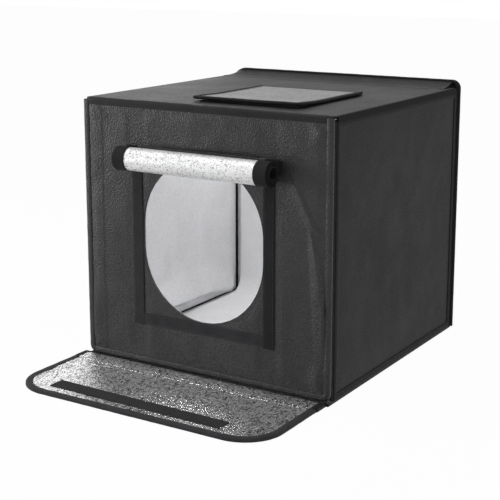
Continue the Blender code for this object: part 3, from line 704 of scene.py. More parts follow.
def window_point(angle):
    """Where a line from the window's centre at an angle meets the window's edge."""
    c, s = np.cos(angle), np.sin(angle)
    side = WINDOW_R / np.maximum(np.abs(c), 1e-9)
    on_side = np.abs(side * s) <= WINDOW_HALF
    b = WINDOW_HALF * np.abs(s)
    reach = b + np.sqrt(np.maximum(b * b - WINDOW_HALF**2 + WINDOW_R**2, 0))
    reach = np.where(on_side, side, reach)
    return np.stack([reach * c, WINDOW_Z + reach * s], -1)


def door_ring(high):
    outer = along(rounded(DOOR_LEFT, DOOR_RIGHT, DOOR_LOW, high, DOOR_CORNER, 0.0095), 0.003, True)
    angles = np.arctan2(outer[:, 1] - WINDOW_Z, outer[:, 0])
    return ring_between(outer, window_point(angles), loop_normals(outer, True), EDGE_ROWS, 60)


def build_door():
    grid = raised(door_ring(DOOR_HIGH), door_height)
    face = shell("door_face", grid, FRONT, CLOTH, front_leather, True)
    piece(face, "door", ["door_cover"], "cover_leathercloth")

    grid = raised(door_ring(DOOR_LINING_HIGH), door_lining_level)[:, ::-1]
    lining = shell("door_inner_lining", grid, FRONT, SILVER, wall_silver, True)
    piece(lining, "door", ["door_lining"], "silver_cloth")

    path = open_edge(DOOR_LEFT, DOOR_RIGHT, DOOR_LOW, DOOR_TAPE_HIGH, DOOR_CORNER, 14)
    tape = binding("door_rolled_edge", FRONT, path, False, *EDGE, 0.0082, front_leather, puff=0.0006, seed=31)
    piece(tape, "door", ["door_binding"], "cover_leathercloth")
    line = stitch_line(FRONT, path, 0.00112, inset=0.0070)
    piece(stitches("door_edge_stitches", [line], thread_black), "door")


def build_window_tapes():
    low, high = 0.062, 0.0795
    bottom = (-TAPE_INNER - 0.004, TAPE_INNER + 0.004, low + 0.0015, high, 0.0002, 0.0008)
    left = (-TAPE_OUTER, -TAPE_INNER, low, SEAM_Z, 0.0003, 0.0011)
    right = (TAPE_INNER, TAPE_OUTER, low, SEAM_Z, 0.0003, 0.0011)
    for made in (
        strip("window_tape_bottom", FRONT, *bottom, loop_grey, door_height, 41, True),
        strip("window_tape_left", FRONT, *left, loop_grey, door_height, 42, rib=0.00025),
        strip("window_tape_right", FRONT, *right, hook_black, door_height, 43),
    ):
        piece(made, "door", ["window_loop_tape"], "hook_tape")
    lines = []
    inset = 0.0018
    for x in (-TAPE_OUTER + inset, -TAPE_INNER - inset, TAPE_INNER + inset, TAPE_OUTER - inset):
        lines.append(stitch_line(FRONT, [(x, 0.064), (x, 0.300)], 0.0014, door_height))
    for z in (0.0652, 0.0778):
        ends = [(-TAPE_INNER + 0.003, z), (TAPE_INNER - 0.003, z)]
        lines.append(stitch_line(FRONT, ends, 0.0010, door_height))
    piece(stitches("window_tape_stitches", lines, thread_black), "door")

    path = along(SEAM_FOLD, 0.0022)
    row = np.arange(len(path))
    thin = rise(row, 0, 4) * rise(row[::-1], 0, 5)
    size = ((0.85 + 0.08 * line_noise(path[:, 0], 0.02, 44)) * (0.4 + 0.6 * thin))[:, None]
    up, out = SEAM_SECTION.T
    flat = path[:, None] + loop_normals(path)[:, None] * up[:, None] * size[:, :, None]
    grid = np.dstack([flat, 1.3 * out * size + door_height(*path.T)[:, None]])
    fold = new_object("window_seam_fold", *tube_data(to_world(grid, FRONT)), front_leather)
    piece(fold, "door", ["window_seam_strip"], "cover_leathercloth")


def build_door_loops():
    for side in ("left", "right"):
        low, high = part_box(f"door_{side}_loop_strip")
        size = (low.x, high.x, STRIP_LOW, STRIP_HIGH, -(high.y + HALF), high.y - low.y)
        loops = strip(f"door_loops_{side}", FRONT, *size, loop_grey, None, 45)
        piece(loops, "door", [f"door_{side}_loop_strip"], "hook_tape")


build_door()
build_window_tapes()
build_door_loops()


# Rolled window cover

ROLL_Y, ROLL_Z, ROLL_R, ROLL_PITCH, ROLL_TURNS = -0.220, 0.3035, 0.0178, 0.0028, 3.4
ROLL_LEFT, ROLL_RIGHT = -0.1030, 0.1035
BAND_WIDTH, BAND_GAP = 0.0190, 0.0003


def roll_grid(x_values, depth, seed, crush, proud, pushed):
    """The face of one layer of the rolled cover at a depth: down from its seam, then wound inwards."""
    steps = 60
    turn = np.arange(round(ROLL_TURNS * steps) + 1) / steps
    angle = -2 * np.pi * turn
    x, t = np.meshgrid(x_values, turn, indexing="ij")
    outward = proud * (1 - np.cos(angle)) / 2
    crushed = rise(t, 0.02, 0.15) * crush * (0.5 + 0.5 * noise(x, t * 0.11, 0.016, seed)) * MM
    radius = ROLL_R + outward - depth - ROLL_PITCH * t - crushed
    wound = grid_of(
        x + pushed * rise(t, 0.7, 3.2), ROLL_Y + radius * np.cos(angle), ROLL_Z + radius * np.sin(angle)
    )
    drop = np.linspace(SEAM_Z, ROLL_Z + 0.0015, 6)
    head = grid_of(x_values[:, None], ROLL_Y + ROLL_R - depth, drop)
    return np.concatenate([head, wound], 1)


def rolled(name, low, high, layer, material, node, slot, seed, crush, proud=0.0, pushed=0.0):
    x_values = np.linspace(low, high, max(4, round((high - low) / 0.004)))
    face, back = (roll_grid(x_values, depth, seed, crush, proud, pushed) for depth in layer)
    verts, faces = tube_data(np.concatenate([face, back[:, ::-1]], 1))
    count = 2 * face.shape[1]
    first = np.arange(count // 2 - 1)
    cap = np.stack([first, first + 1, count - 2 - first, count - 1 - first], -1)
    faces = faces[:-2] + cap[:, ::-1].tolist() + (cap + len(verts) - count).tolist()
    return piece(new_object(name, verts, faces, material, 50), "window_roll", [node], slot)


def build_roll():
    ends = (ROLL_LEFT, ROLL_RIGHT)
    lining = rolled(
        "roll_silver_face", *ends, (0, 0.0006), roll_silver, "window_cover_lining", "silver_cloth", 51, 0.28
    )
    shell_cloth = rolled(
        "roll_inner_cloth", *ends, (0.0009, 0.0018), shell_leather, "window_cover_shell",
        "cover_leathercloth", 51, 0.28,
    )
    for side, start, seed, pushed in (
        ("left", ROLL_LEFT - BAND_GAP - BAND_WIDTH, 52, -0.0015),
        ("right", ROLL_RIGHT + BAND_GAP, 53, 0.0035),
    ):
        rolled(
            f"roll_{side}_band", start, start + BAND_WIDTH, (0, 0.0018), tape_black,
            f"window_cover_{side}_band", "edge_binding", seed, 0.15, 0.0012, pushed,
        )


build_roll()


# Side panels

SIDE = (-0.1911, 0.1911, 0.0053, 0.3737)
SIDE_LEFT, SIDE_RIGHT, SIDE_LOW, SIDE_HIGH = SIDE


def side_height(seed):
    def height(u, v):
        slant = noise(u + 0.6 * v, 0.35 * (v - u), 0.06, seed)
        level = 0.45 + 0.45 * slant + 0.25 * noise(u, v, 0.022, seed + 1)
        return np.clip(level, 0, None) * rise(edge_gap(u, v, *SIDE), 0.007, 0.035) * MM

    return height


def wall_height(seed, sign):
    """The lining's soft waves, and a hem that bulges low down and sinks towards the back of the tent."""

    def height(u, v):
        back = u * sign
        slack_low = (1 - rise(v, 0.06, 0.22)) * (1 - rise(back, 0.05, 0.17))
        level = 0.9 + (0.35 + 2.1 * slack_low) * noise(u, 0.6 * v + 0.4 * back, 0.032, seed)
        level = level + 0.4 * slack_low * noise(u + v, v - u, 0.018, seed)
        hem = np.interp(back, (-0.19, -0.0098, 0.0944, 0.1873), (0.027, 0.0264, 0.0235, 0.0080))
        swell = rise(v, hem - 0.008, hem + 0.003) * (1 - rise(v, hem + 0.005, hem + 0.050))
        bulge = np.interp(back, (-0.19, 0.0, 0.19), (17.0, 16.0, 5.0)) * swell
        inner = rise(np.minimum(u - SIDE_LEFT, SIDE_RIGHT - u), 0.003, 0.02)
        edge = rise(edge_gap(u, v, *SIDE), 0.003, 0.02)
        return LINING - (np.clip(level, 0.02, None) * edge + bulge * inner) * MM

    return height


def build_side(side, where, seed):
    body = f"{side}_side"
    sign = where[1][0][1]

    def ends(v):
        return SIDE_LEFT, SIDE_RIGHT

    rows = spread(SIDE_LOW, SIDE_HIGH, 0.005)
    outer = cloth(f"{side}_side_cloth", where, rows, ends, side_height(seed), CLOTH, side_leather)
    piece(outer, body, [f"{side}_side_cover"], "cover_leathercloth")
    rows = spread(SIDE_LOW, SIDE_HIGH, 0.004)
    waves = wall_height(seed + 5, sign)
    inner = cloth(f"{side}_wall_silver", where, rows, ends, waves, SILVER, wall_silver, inward=True)
    piece(inner, body, [f"{side}_side_lining"], "silver_cloth")
    loop = rounded(*SIDE, 0.0020, 0.0020, 4)
    tape = binding(
        f"{side}_side_tape", where, loop, True, *EDGE, BINDING, tape_black, 0.0018, puff=0.0003, seed=seed
    )
    piece(tape, body, [f"{side}_side_binding"], "edge_binding")
    low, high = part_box(f"{side}_side_hook_strip")
    width = sorted((low.y * sign, high.y * sign))
    base, top = sorted((x - where[0][0]) * where[1][2][0] for x in (low.x, high.x))
    hooks = strip(f"{side}_side_hooks", where, *width, STRIP_LOW, STRIP_HIGH, base, top - base, hook_black)
    piece(hooks, body, [f"{side}_side_hook_strip"], "hook_tape")
    left, right = SIDE_LEFT + SEAM_IN, SIDE_RIGHT - SEAM_IN
    bottom, head = SIDE_LOW + SEAM_IN, SIDE_HIGH - SEAM_IN
    corners = [(left, bottom), (right, bottom), (right, head), (left, head), (left, bottom)]
    line = stitch_line(where, corners, SEAM_OUTSIDE)
    piece(stitches(f"{side}_side_stitches", [line], thread_black), body)


build_side("left", LEFT, 61)
build_side("right", RIGHT, 71)


# Back panel and backdrop

# The ridge's two upper corners, as seen from behind: the wide one is the tent's left
BACK_SIDE, BACK_TOP, BACK_WIDE, BACK_TIGHT = 0.203, 0.390, 0.024, 0.012
BACK_CORNER = BACK_TOP - BACK_WIDE
# Where the cloth and the lining of the back panel start, over the floor
BACK_LOW, BACK_LINING_LOW = 0.0023, 0.0047
PIPED_SEAM_Y = 0.1934


def back_ends(v):
    ends = []
    for radius in (BACK_TIGHT, BACK_WIDE):
        over = min(max(v - (BACK_TOP - radius), 0), radius)
        ends.append(BACK_SIDE - radius + math.sqrt(max(radius**2 - over**2, 1e-8)))
    return -ends[0], ends[1]


def back_level(u, v):
    edge = edge_gap(u, v, -BACK_SIDE, BACK_SIDE, BACK_LOW - 0.008, BACK_TOP)
    level = 0.5 + 0.4 * noise(u + 0.5 * v, 0.4 * (v - u), 0.07, 81) + 0.2 * noise(u, v, 0.022, 82)
    return np.clip(level, 0, None) * rise(edge, 0.009, 0.04) * MM


def build_back():
    top_rows = BACK_CORNER + BACK_WIDE * np.sin(np.linspace(0, np.pi / 2, 16))
    rows, lining_rows = (
        np.concatenate([np.linspace(low, BACK_CORNER, 74)[:-1], top_rows])
        for low in (BACK_LOW, BACK_LINING_LOW)
    )
    outer = cloth("back_cloth", BACK, rows, back_ends, back_level, CLOTH, side_leather)
    piece(outer, "back", ["back_cover"], "cover_leathercloth")
    inner = cloth(
        "back_wall_silver", BACK, lining_rows, back_ends, lambda u, v: LINING, SILVER, wall_silver,
        inward=True,
    )
    piece(inner, "back", ["back_lining"], "silver_cloth")
    path = np.concatenate([
        [(BACK_SIDE, BACK_LINING_LOW)],
        arc(BACK_SIDE - BACK_WIDE, BACK_CORNER, BACK_WIDE, 0, 90, 14),
        arc(-BACK_SIDE + BACK_TIGHT, BACK_TOP - BACK_TIGHT, BACK_TIGHT, 90, 180, 10),
        [(-BACK_SIDE, BACK_LINING_LOW)],
    ])
    tape = binding("back_edge_tape", BACK, path, False, *EDGE, BINDING, tape_black, puff=0.0005, seed=85)
    piece(tape, "back", ["back_binding"], "edge_binding")
    levels = ((SEAM_OUTSIDE, 1), (SEAM_INSIDE, -1))
    lines = [stitch_line(BACK, path, level, None, SEAM_IN, side) for level, side in levels]
    piece(stitches("back_edge_stitches", lines, thread_black), "back")
    rows = np.concatenate([[0.3735], BACK_TOP - 0.0006 - 0.014 * (1 - np.sin(np.linspace(0, np.pi / 2, 14)))])
    front = cloth(
        "ridge_front_cloth", BACK, rows, back_ends, lambda u, v: LINING - 0.0007, 0.0005, lit_roof_leather,
        inward=True,
    )
    piece(front, "back")


def build_back_cords():
    ends = [(-DOOR_RIGHT, HALF, 0.001), (DOOR_RIGHT, HALF, 0.001)]
    made = cord_tube("back_bottom_cord", ends, 0.001, tape_black, 87)
    piece(made, "back", ["back_bottom_seam_cord"], "edge_binding")
    # Round just inside the ridge's two upper corners
    tight = arc(0.190, 0.3795, 0.010, 0, 90, 8)
    wide = arc(-0.179, 0.3685, 0.021, 90, 180, 12)
    flat = [(HALF, 0.0043), *tight, *wide, (-HALF, 0.0043)]
    made = cord_tube("back_piped_seam", [(x, PIPED_SEAM_Y, z) for x, z in flat], 0.0013, tape_black, 88)
    piece(made, "back", ["back_seam_cord"], "edge_binding")


def build_backdrop():
    """A sheet that hangs down the back, sweeps round and lies on the floor."""
    drop_y, floor_z, sweep = 0.1945, 0.0043, 0.030
    line = np.concatenate([
        np.stack([np.full(36, drop_y), np.linspace(0.364, 0.0345, 36)], -1),
        arc(drop_y - sweep, floor_z + sweep, sweep, 0, -90, 14)[1:],
        np.stack([np.linspace(0.163, -0.188, 40), np.full(40, floor_z)], -1),
    ])
    x = spread(-0.188, 0.188, 0.008, 0.010, 4)
    y, z = line.T[:, :, None]
    row = np.arange(len(line))[:, None]
    wave = 0.25 * (1 + noise(x, z + y, 0.09, 91)) * MM * rise(row, 0, 6) * rise(row[::-1], 0, 6)
    out_y, out_z = loop_normals(line).T[:, :, None]
    grid = grid_of(x, y - out_y * (0.0006 + wave), z - out_z * (0.0006 + wave))[:, ::-1]
    made = shell("backdrop_swept", grid, GROUND, SILVER, backdrop_white)
    piece(made, "back", ["backdrop_sheet"], "backdrop_white")
    low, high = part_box("backdrop_hook_tape")
    size = (-high.x, -low.x, low.z, high.z, low.y - HALF, high.y - low.y)
    hooks = strip("backdrop_hooks", BACK, *size, hook_black, None, 93, True)
    piece(hooks, "back", ["backdrop_hook_tape"], "hook_tape")


build_back()
build_back_cords()
build_backdrop()


# Top panel

TOP_FRONT, TOP_REAR = -0.1987, 0.1874
HATCH_LEFT, HATCH_RIGHT, HATCH_FRONT, HATCH_REAR = -0.044, 0.128, -0.160, 0.018
ROOF_FOLD = [(-0.198, 0.150), (-0.11, 0.153), (0.0, 0.151), (0.11, 0.153), (0.198, 0.150)]
# The opening under the hatch: its left, right, front and rear, its corners' radius and its middle
OPENING, OPENING_CORNER = (-0.016, 0.100, -0.132, -0.010), 0.012
OPENING_MIDDLE = np.array([0.042, -0.071])
CEILING_SIDE = 0.1960
# Where the two light bars lie, from front to back
BAR_FRONT, BAR_REAR = -0.164, 0.128
# The black lips over the sides' upper edges, partly their binding and partly painted shade of the gap under
# the roof's edge, as (distance from the middle, level on the roof)
LIP_SECTION = np.array([
    (0.2002, -0.0008), (0.2010, -0.0022), (0.2014, -0.0045), (0.2014, -0.0070), (0.2012, -0.0086),
])


def roof_height(x, y):
    edge = edge_gap(x, y, -HALF, HALF, TOP_FRONT, TOP_REAR)
    outside_hatch = -edge_gap(x, y, HATCH_LEFT, HATCH_RIGHT, HATCH_FRONT, HATCH_REAR + 0.018)
    level = 0.30 + 0.35 * noise(x, y, 0.07, 101) + 0.15 * noise(x, y, 0.023, 102)
    level += 1.1 * crease(x, y, ROOF_FOLD, 0.003, 0.010, 0.05)
    return np.clip(level, 0, None) * rise(edge, 0.002, 0.03) * rise(outside_hatch, 0.0, 0.02) * MM


def ceiling_level(x, y):
    bars = np.minimum(np.abs(y - BAR_FRONT), np.abs(y - BAR_REAR))
    edge = edge_gap(x, y, DOOR_LEFT, DOOR_RIGHT, TOP_FRONT, TOP_REAR)
    wave = np.clip(0.3 + 0.3 * noise(x, y, 0.05, 103), 0, None)
    return LINING - wave * rise(bars, 0.012, 0.03) * rise(edge, 0.012, 0.03) * MM


def build_roof():
    outer = along(rounded(-HALF, HALF, TOP_FRONT, TOP_REAR, 0.008, 0.0006), 0.003, True)
    hole = along(rounded(*OPENING, OPENING_CORNER, OPENING_CORNER), 0.0005, True)
    angles, hole_angles = (np.arctan2(*(loop - OPENING_MIDDLE).T[::-1]) for loop in (outer, hole))
    order = np.argsort(hole_angles)
    reached = [np.interp(angles, hole_angles[order], part, period=2 * np.pi) for part in hole[order].T]
    inner = np.stack(reached, -1)
    ways = unit(inner - outer)
    flat = ring_between(outer, inner, ways, (0.0022, 0.0032, 0.0045, 0.0060), 60)
    normals = loop_normals(outer, True)
    side = (normals[:, 0] ** 2)[:, None]
    skirt = []
    for inset, drop in ((0.0, 0.0050), (0.0, 0.0036), (0.0, 0.0024), (0.0003, 0.0013), (0.0010, 0.0004)):
        turned = np.column_stack([outer + normals * inset, np.full(len(outer), -drop)])
        tucked = np.column_stack([outer + ways * (0.0022 - drop * 0.3), np.full(len(outer), -0.03 * drop)])
        skirt.append(turned * side + tucked * (1 - side))
    grid = np.concatenate([np.stack(skirt), raised(flat, roof_height)])
    roof = shell("roof_cloth", grid, TOP, CLOTH, lit_roof_leather, True)
    piece(roof, "top", ["top_cover"], "cover_leathercloth")

    # Black lips down over the sides' upper edges: partly binding, partly painted shade of the gap under the
    # roof's edge
    lips = []
    y = np.linspace(TOP_FRONT + 0.008, TOP_REAR, 80)[:, None]
    for sign in (-1, 1):
        grid = grid_of(sign * LIP_SECTION[:, 0], y, LIP_SECTION[:, 1])
        lips.append(shell_data(to_world(grid[:, :: -sign], TOP), 0.0006))
    made = new_object("roof_side_painted_shade_lips", *merged(lips), painted_shade_lip)
    piece(made, "top", ["top_cover"], "cover_leathercloth")

    x = np.clip(flat[:, :, 0], -CEILING_SIDE, CEILING_SIDE)
    y = np.clip(flat[:, :, 1], TOP_FRONT + 0.0035, TOP_REAR)
    grid = grid_of(x, y, ceiling_level(x, y))[:, ::-1]
    made = shell("ceiling_silver", grid, TOP, SILVER, wall_silver, True)
    piece(made, "top", ["top_lining"], "silver_cloth")


def build_gusset():
    """The strip of cloth rising from the roof to the seam below the ridge, a little hollow."""
    x = spread(-0.1985, 0.193, 0.005)
    share = np.linspace(0, 1, 9)[:, None]
    corner = np.sqrt(np.clip(BACK_WIDE**2 - np.clip(-0.179 - x, 0, None) ** 2, 0, None))
    foot, top = 0.3806, np.minimum(0.3884, BACK_CORNER + corner - 0.0012)
    sway = 0.0003 * line_noise(x, 0.02, 105) * np.sin(np.pi * share)
    grid = grid_of(x, 0.1570 + 0.0356 * share, foot + (top - foot) * share**1.6 + sway)
    made = shell("roof_rear_gusset", grid, GROUND, CLOTH, lit_roof_leather)
    piece(made, "top", ["top_rear_gusset"], "cover_leathercloth")


def build_front_fold():
    """The soft fold where the roof's cloth turns over the front edge into the door, in a darker copy of the
    leathercloth that paints shade along the fold.
    """
    x = spread(-0.1985, 0.1985, 0.004, 0.014, 7)
    ease = rise(np.abs(x), 0.186, 0.200)
    turn = np.radians(np.concatenate([[96], np.linspace(90, 180, 12), [186]]))[:, None]
    size = 0.0040 + 0.0003 * line_noise(x, 0.03, 107)
    turned = grid_of(x, -0.1972 + size * np.cos(turn), DOOR_TAPE_HIGH + size * np.sin(turn))
    on_roof, on_door = (grid_of(x, *place)[None] for place in ((-0.1905, 0.38035), (-0.20045, 0.3705)))
    grid = np.concatenate([on_roof, turned, on_door]) + grid_of(0, 0.0012 * ease, -0.0050 * ease**2)
    made = shell("front_top_fold", grid[::-1], GROUND, 0.0007, shaded_fold_leather)
    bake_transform(made)
    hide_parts("top_front_seam_cord")


build_roof()
build_gusset()
build_front_fold()


# Top hatch

HATCH_CORNER = 0.007
# Middle and half thickness of the hatch at its edge
HATCH_EDGE = (0.38345, 0.00125)
# The outer and the inner line of the tape round the opening
HATCH_TAPE = np.array([(-0.035, 0.009), (-0.035, -0.151), (0.119, -0.151), (0.119, 0.009)])
HATCH_TAPE_INNER = HATCH_TAPE + np.array([(0.016, 0), (0.016, 0.016), (-0.016, 0.016), (-0.016, 0)])


def hatch_lift(x, y):
    """The hatch's front and right edges stand up a little from the roof."""
    front = 1 - rise(y, HATCH_FRONT, HATCH_FRONT + 0.07)
    right = rise(x, HATCH_RIGHT - 0.05, HATCH_RIGHT) * (1 - rise(y, HATCH_REAR - 0.06, HATCH_REAR))
    wave = 0.25 * noise(x, y, 0.05, 111)
    return (2.1 * front + 0.2 * right + wave * front) * MM


def lifted(level):
    """The level of a sheet of the hatch, which rests at this level where it doesn't stand up."""
    return lambda x, y: level + hatch_lift(x, y)


def hatch_strip(name, base, thickness, material, lift, down):
    """Tape laid round the opening on three sides, with its corners mitred."""
    share = np.linspace(0, 1, 40)[:, None, None]
    across = np.linspace(0, 1, 5)[:, None]
    rows = []
    for k in range(3):
        edge, inner = (line[k] + (line[k + 1] - line[k]) * share for line in (HATCH_TAPE, HATCH_TAPE_INNER))
        rows.append((inner + (edge - inner) * across)[: 40 if k == 2 else 39])
    rim = (1 - rise(np.minimum(across, 1 - across), 0, 0.2)).T
    face = base - 0.0002 * -rim if down else base + thickness - 0.0002 * rim
    grid = raised(np.concatenate(rows), lambda x, y: face + lift * hatch_lift(x, y))
    return shell(name, grid[:, ::-1] if down else grid, GROUND, thickness * 0.9, material)


def build_hatch():
    left, right, front, rear = HATCH_LEFT + PROUD, HATCH_RIGHT - PROUD, HATCH_FRONT + PROUD, HATCH_REAR
    for name, inset, level, thickness, material, node, slot in (
        ("hatch_face", 0, 0.3844, 0.0010, hatch_leather, "hatch_cover", "hatch_leathercloth"),
        ("hatch_silver_face", 0.0025, 0.3833, SILVER, wall_silver, "hatch_lining", "silver_cloth"),
    ):
        start = front + inset
        straight = np.linspace(start + HATCH_CORNER, rear, 46)
        rows, ends = rounded_front(left + inset, right - inset, start, HATCH_CORNER, 8, straight)
        made = cloth(name, GROUND, rows, ends, lifted(level), thickness, material, 0.008, inset > 0)
        piece(made, "hatch", [node], slot)
    path = open_edge(left, right, front, rear, HATCH_CORNER)
    tape = binding(
        "hatch_edge_tape", GROUND, path, False, *HATCH_EDGE, 0.0060, tape_black, puff=0.0003, seed=113,
        lift=hatch_lift,
    )
    piece(tape, "hatch", ["hatch_binding"], "edge_binding")
    hooks = hatch_strip("hatch_hooks", 0.3814, 0.0008, hook_black, 1.0, True)
    piece(hooks, "hatch", ["hatch_hook_tape"], "hook_tape")
    loops = hatch_strip("hatch_loops", 0.3803, 0.0008, loop_grey, 0.0, False)
    piece(loops, "top", ["hatch_loop_tape"], "hook_tape")
    low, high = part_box("hatch_hinge_strip")
    size = (low.x, high.x, low.y, high.y, low.z, high.z - low.z)
    hinge = strip("hatch_hinge_cloth", GROUND, *size, lit_roof_leather, None, 115, True)
    piece(hinge, "top", ["hatch_hinge_strip"])
    line = [(left + 0.011, rear - 0.004), (left + 0.011, front + 0.014)]
    seam = stitches("hatch_seam_stitches", [stitch_line(GROUND, line, 0.3846, hatch_lift)], thread_grey)
    piece(seam, "hatch")
    line = stitch_line(GROUND, path, 0.38545, hatch_lift, 0.0048)
    piece(stitches("hatch_edge_stitches", [line], thread_black), "hatch")


build_hatch()


# Floor panel and closing flap

FLAP_CREASE = [
    (-0.196, -0.2500), (-0.1717, -0.2480), (-0.140, -0.2410), (-0.1045, -0.2368), (-0.0323, -0.2344),
    (0.0374, -0.2327), (0.1066, -0.2351), (0.1662, -0.2325), (0.190, -0.2310),
]
SPINE_FRONT, SPINE_REAR = -0.2270, -0.2036
# Rear and corner radius of the flap, and its middle and half thickness at its edge
FLAP_REAR, FLAP_CORNER, FLAP_EDGE = -0.2296, 0.054, (0.0028, 0.0018)
# Section of the silver cloth over the seam between spine and flap: places across it
CREASE_ACROSS = np.array([-4.6, -3.4, -2.2, -1.2, -0.4, 0.4, 1.2, 2.2, 3.4, 4.6])[:, None] * MM


def tray(name, left, right, front, rear, walls, material):
    """A cloth under a panel, whose sides, front and rear edges turn up by the three heights of walls."""

    def folded(low, high, low_wall, high_wall):
        flat = spread(low, high, 0.01, 0.012, 4)
        low_up = np.linspace(low_wall, 0, 4)[:-1] if low_wall else []
        high_up = np.linspace(0, high_wall, 4)[1:] if high_wall else []
        place = np.concatenate([np.full(len(low_up), low), flat, np.full(len(high_up), high)])
        return place, np.concatenate([low_up, 0 * flat, high_up])

    x, x_up = folded(left, right, walls[0], walls[0])
    y, y_up = (values[:, None] for values in folded(front, rear, walls[1], walls[2]))
    grid = grid_of(x, y, 0.0002 + np.maximum(x_up, y_up))
    return shell(name, grid[:, ::-1], GROUND, CLOTH, material)


def build_floor():
    front, rear = -0.1950, 0.1987

    def sides(v):
        half = 0.1960 - 0.012 * (1 - rise(v, front, -0.180))
        return -half, half

    rows = np.linspace(front, rear, 60)
    top = cloth("floor_silver", GROUND, rows, sides, lambda u, v: 0.0040, SILVER, wall_silver)
    piece(top, "floor", ["floor_lining"], "silver_cloth")
    under = tray("floor_under_cloth", -0.199, 0.199, -0.2030, rear, (0.0038, 0.0048, 0.0), side_leather)
    piece(under, "floor", ["floor_cover"], "cover_leathercloth")


def flap_level(x, y):
    """The flap's silver cloth: a long sharp crease near its hinge, and soft waves."""
    wave = 0.15 + 0.25 * noise(x, y, 0.06, 121) + 0.12 * noise(x, y, 0.018, 122)
    wave += 0.8 * crease(x, y, FLAP_CREASE, 0.0018, 0.0050, 0.04)
    return 0.0042 + np.clip(wave, 0, None) * MM


def build_spine(left, right):
    walls = (0.0042, 0.0040, 0.0040)
    under = tray("spine_under_cloth", left, right, SPINE_FRONT, SPINE_REAR, walls, side_leather)
    piece(under, "flap_spine", ["flap_spine_cover"], "cover_leathercloth")
    x = spread(left + 0.0010, right - 0.0010, 0.004)
    y = np.linspace(SPINE_FRONT + 0.0010, SPINE_REAR - 0.0010, 13)[:, None]
    edge = np.minimum(y - y[0], y[-1] - y)
    level = 0.0044 + 0.0007 * rise(edge, 0, 0.006) + 0.0002 * noise(x, y, 0.015, 125)
    pad = shell("spine_pad", grid_of(x, y, level), GROUND, 0.0030, flap_silver)
    piece(pad, "flap_spine", ["flap_spine_pad"], "silver_cloth")
    lip = 0.009
    for side, start in (("left", left), ("right", right - lip)):
        size = (start, start + lip, SPINE_FRONT, SPINE_REAR, 0.0046, 0.0009)
        made = strip(f"spine_{side}_lip", GROUND, *size, tape_black, None, 126)
        piece(made, "flap_spine", ["flap_spine_cover"], "edge_binding")


def build_crease(left, right):
    """The silver cloth where it runs over the seam between the spine and the flap."""
    inset, middle = 0.0085, -0.2283
    x = spread(left + inset, right - inset, 0.004)
    crest = 0.0004 * np.exp(-((CREASE_ACROSS / 0.0015) ** 2)) * (1 + 0.3 * line_noise(x, 0.02, 127))
    slope = np.interp(CREASE_ACROSS, (-0.0046, 0.0046), (0.0046, 0.0053))
    grid = grid_of(x, middle + CREASE_ACROSS, slope + crest)
    made = shell("crease_silver_fold", grid, GROUND, SILVER, flap_silver)
    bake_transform(made)
    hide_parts("flap_crease_seam")


def build_flap():
    low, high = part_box("flap_binding")
    left, right, front = low.x + PROUD, high.x - PROUD, low.y + PROUD
    creased = -0.256
    straight = np.linspace(front + FLAP_CORNER, creased, 26)[:-1]
    creases = np.linspace(creased, FLAP_REAR, 32)
    rows, ends = rounded_front(left, right, front, FLAP_CORNER, 26, straight, creases)
    under = cloth(
        "flap_cover_cloth", GROUND, rows, ends, lambda u, v: 0.0011, CLOTH, side_leather, inward=True
    )
    piece(under, "closing_flap", ["flap_cover"], "cover_leathercloth")
    face = cloth("flap_silver_face", GROUND, rows, ends, flap_level, SILVER, flap_silver)
    piece(face, "closing_flap", ["flap_lining"], "silver_cloth")
    path = open_edge(left, right, front, FLAP_REAR, FLAP_CORNER, 24)
    tape = binding(
        "flap_edge_tape", GROUND, path, False, *FLAP_EDGE, 0.0090, flap_tape, puff=0.0004, seed=131
    )
    piece(tape, "closing_flap", ["flap_binding"], "edge_binding")
    line = stitch_line(GROUND, path, 0.0054, inset=0.0074)
    piece(stitches("flap_edge_stitches", [line], thread_black), "closing_flap")
    low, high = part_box("flap_hook_strip")
    slant = math.radians(1.0)
    half = (high - low) / 2
    middle = ((low.x + high.x) / 2, (low.y + high.y) / 2, 0)
    turned = panel(middle, (math.cos(slant), -math.sin(slant), 0), (math.sin(slant), math.cos(slant), 0))
    size = (-half.x, half.x, -half.y, half.y, 0.0044, 0.0011)
    hooks = strip("flap_hooks", turned, *size, hook_black, None, 133, True)
    piece(hooks, "closing_flap", ["flap_hook_strip"], "hook_tape")


build_floor()
spine_low, spine_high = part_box("flap_spine_cover")
build_spine(spine_low.x, spine_high.x)
build_crease(spine_low.x, spine_high.x)
build_flap()

# Looks of the solids that stay
SOLID_LOOKS = (
    ("_light_bar_channel", aluminium),
    ("_light_bar_board", bar_lamps),
    ("_cap", cap_black),
    ("_board", shaded_board_grey),
)
for name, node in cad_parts.items():
    look = next((material for ending, material in SOLID_LOOKS if name.endswith(ending)), None)
    for held in node.material_slots if look else ():
        held.material = look


# Camera, light and stage

CAMERA_PLACE, CAMERA_HEADING, CAMERA_PITCH = (0.8905, -1.4977, 0.5762), -0.5602, -0.2027
# The lens and the width of the picture in pixels, and the sensor's width in millimetres
LENS_PIXELS, PICTURE_PIXELS, SENSOR = 1192.55, 500, 36
MIDDLE = (0, 0, 0.2)
BAR_LAMPS_Z = 0.3640
# Name, place, target, size, watts and the body that carries it
LIGHTS = [
    ("softbox_left", (-1.95, -1.25, 0.40), MIDDLE, (0.35, 1.0), 20, None),
    ("softbox_over", (-0.5, -0.5, 2.0), MIDDLE, (1.2, 1.2), 14, None),
    ("softbox_roof", (-0.80, 0.72, 0.66), (-0.15, -0.15, 0.38), (0.35, 0.35), 0.6, None),
    ("softbox_right", (1.9, -0.9, 0.9), MIDDLE, (0.8, 1.2), 5, None),
    ("bar_light_front", (0, BAR_FRONT, BAR_LAMPS_Z), (0, BAR_FRONT, 0), (0.33, 0.012), 0.28, "top"),
    ("bar_light_rear", (0, BAR_REAR, BAR_LAMPS_Z), (0, BAR_REAR, 0), (0.33, 0.012), 0.36, "top"),
]


def look_along(obj, direction):
    obj.rotation_euler = Vector(direction).to_track_quat("-Z", "Y").to_euler()


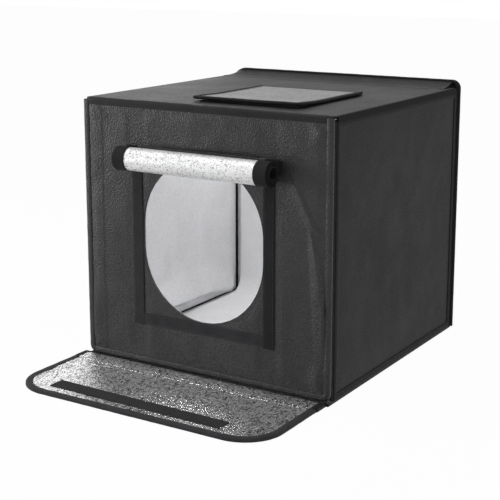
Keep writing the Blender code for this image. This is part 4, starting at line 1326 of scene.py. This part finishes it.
def build_camera(scene):
    camera = bpy.data.objects.new("camera", bpy.data.cameras.new("camera"))
    scene.collection.objects.link(camera)
    camera.location = CAMERA_PLACE
    level = math.cos(CAMERA_PITCH)
    heading = CAMERA_HEADING
    look_along(camera, (math.sin(heading) * level, math.cos(heading) * level, math.sin(CAMERA_PITCH)))
    camera.data.lens = SENSOR * LENS_PIXELS / PICTURE_PIXELS
    camera.data.sensor_width = SENSOR
    camera.data.shift_x = 0.001
    camera.data.shift_y = -0.1
    camera.data.clip_start = 0.05
    camera.data.clip_end = 50
    scene.camera = camera


def build_stage(scene):
    """White ground and white surroundings, which the camera and glossy rays see brighter than they light."""
    nodes = Nodes(bpy.data.materials.new("ground_white"))
    far = 9
    corners = [(-far, -far, 0), (far, -far, 0), (far, far, 0), (-far, far, 0)]
    floor = new_object("ground", corners, [[0, 1, 2, 3]], nodes.holder)
    nodes.tree.nodes.clear()
    share = nodes.maths("MULTIPLY", nodes.seen_by("Is Camera Ray", "Is Glossy Ray"), 0.97)
    plain = nodes.node("BsdfDiffuse", {"Color": (0.85, 0.85, 0.85, 1)})
    glow = nodes.node("Emission", {"Color": (1, 1, 1, 1), "Strength": 1.0})
    mixed = nodes.node("MixShader", {0: share, 1: plain.outputs[0], 2: glow.outputs[0]})
    nodes.ends_in("OutputMaterial", mixed)

    scene.world = bpy.data.worlds.new("studio")
    nodes = Nodes(scene.world)
    nodes.tree.nodes.clear()
    strength = nodes.spans(nodes.seen_by("Is Camera Ray", "Is Transmission Ray", "Is Glossy Ray"), 0.35, 1.0)
    nodes.ends_in("OutputWorld", nodes.node("Background", {"Color": (1, 1, 1, 1), "Strength": strength}))


def area_light(name, place, target, size, power, body):
    light = bpy.data.objects.new(name, bpy.data.lights.new(name, "AREA"))
    light.data.shape = "RECTANGLE"
    light.data.size, light.data.size_y = size
    light.data.energy = power
    bpy.context.scene.collection.objects.link(light)
    light.location = place
    light.visible_camera = False
    look_along(light, Vector(target) - Vector(place))
    if body:
        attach(light, body)


bpy.context.scene.view_settings.view_transform = "Standard"
build_camera(bpy.context.scene)
build_stage(bpy.context.scene)
for light in LIGHTS:
    area_light(*light)
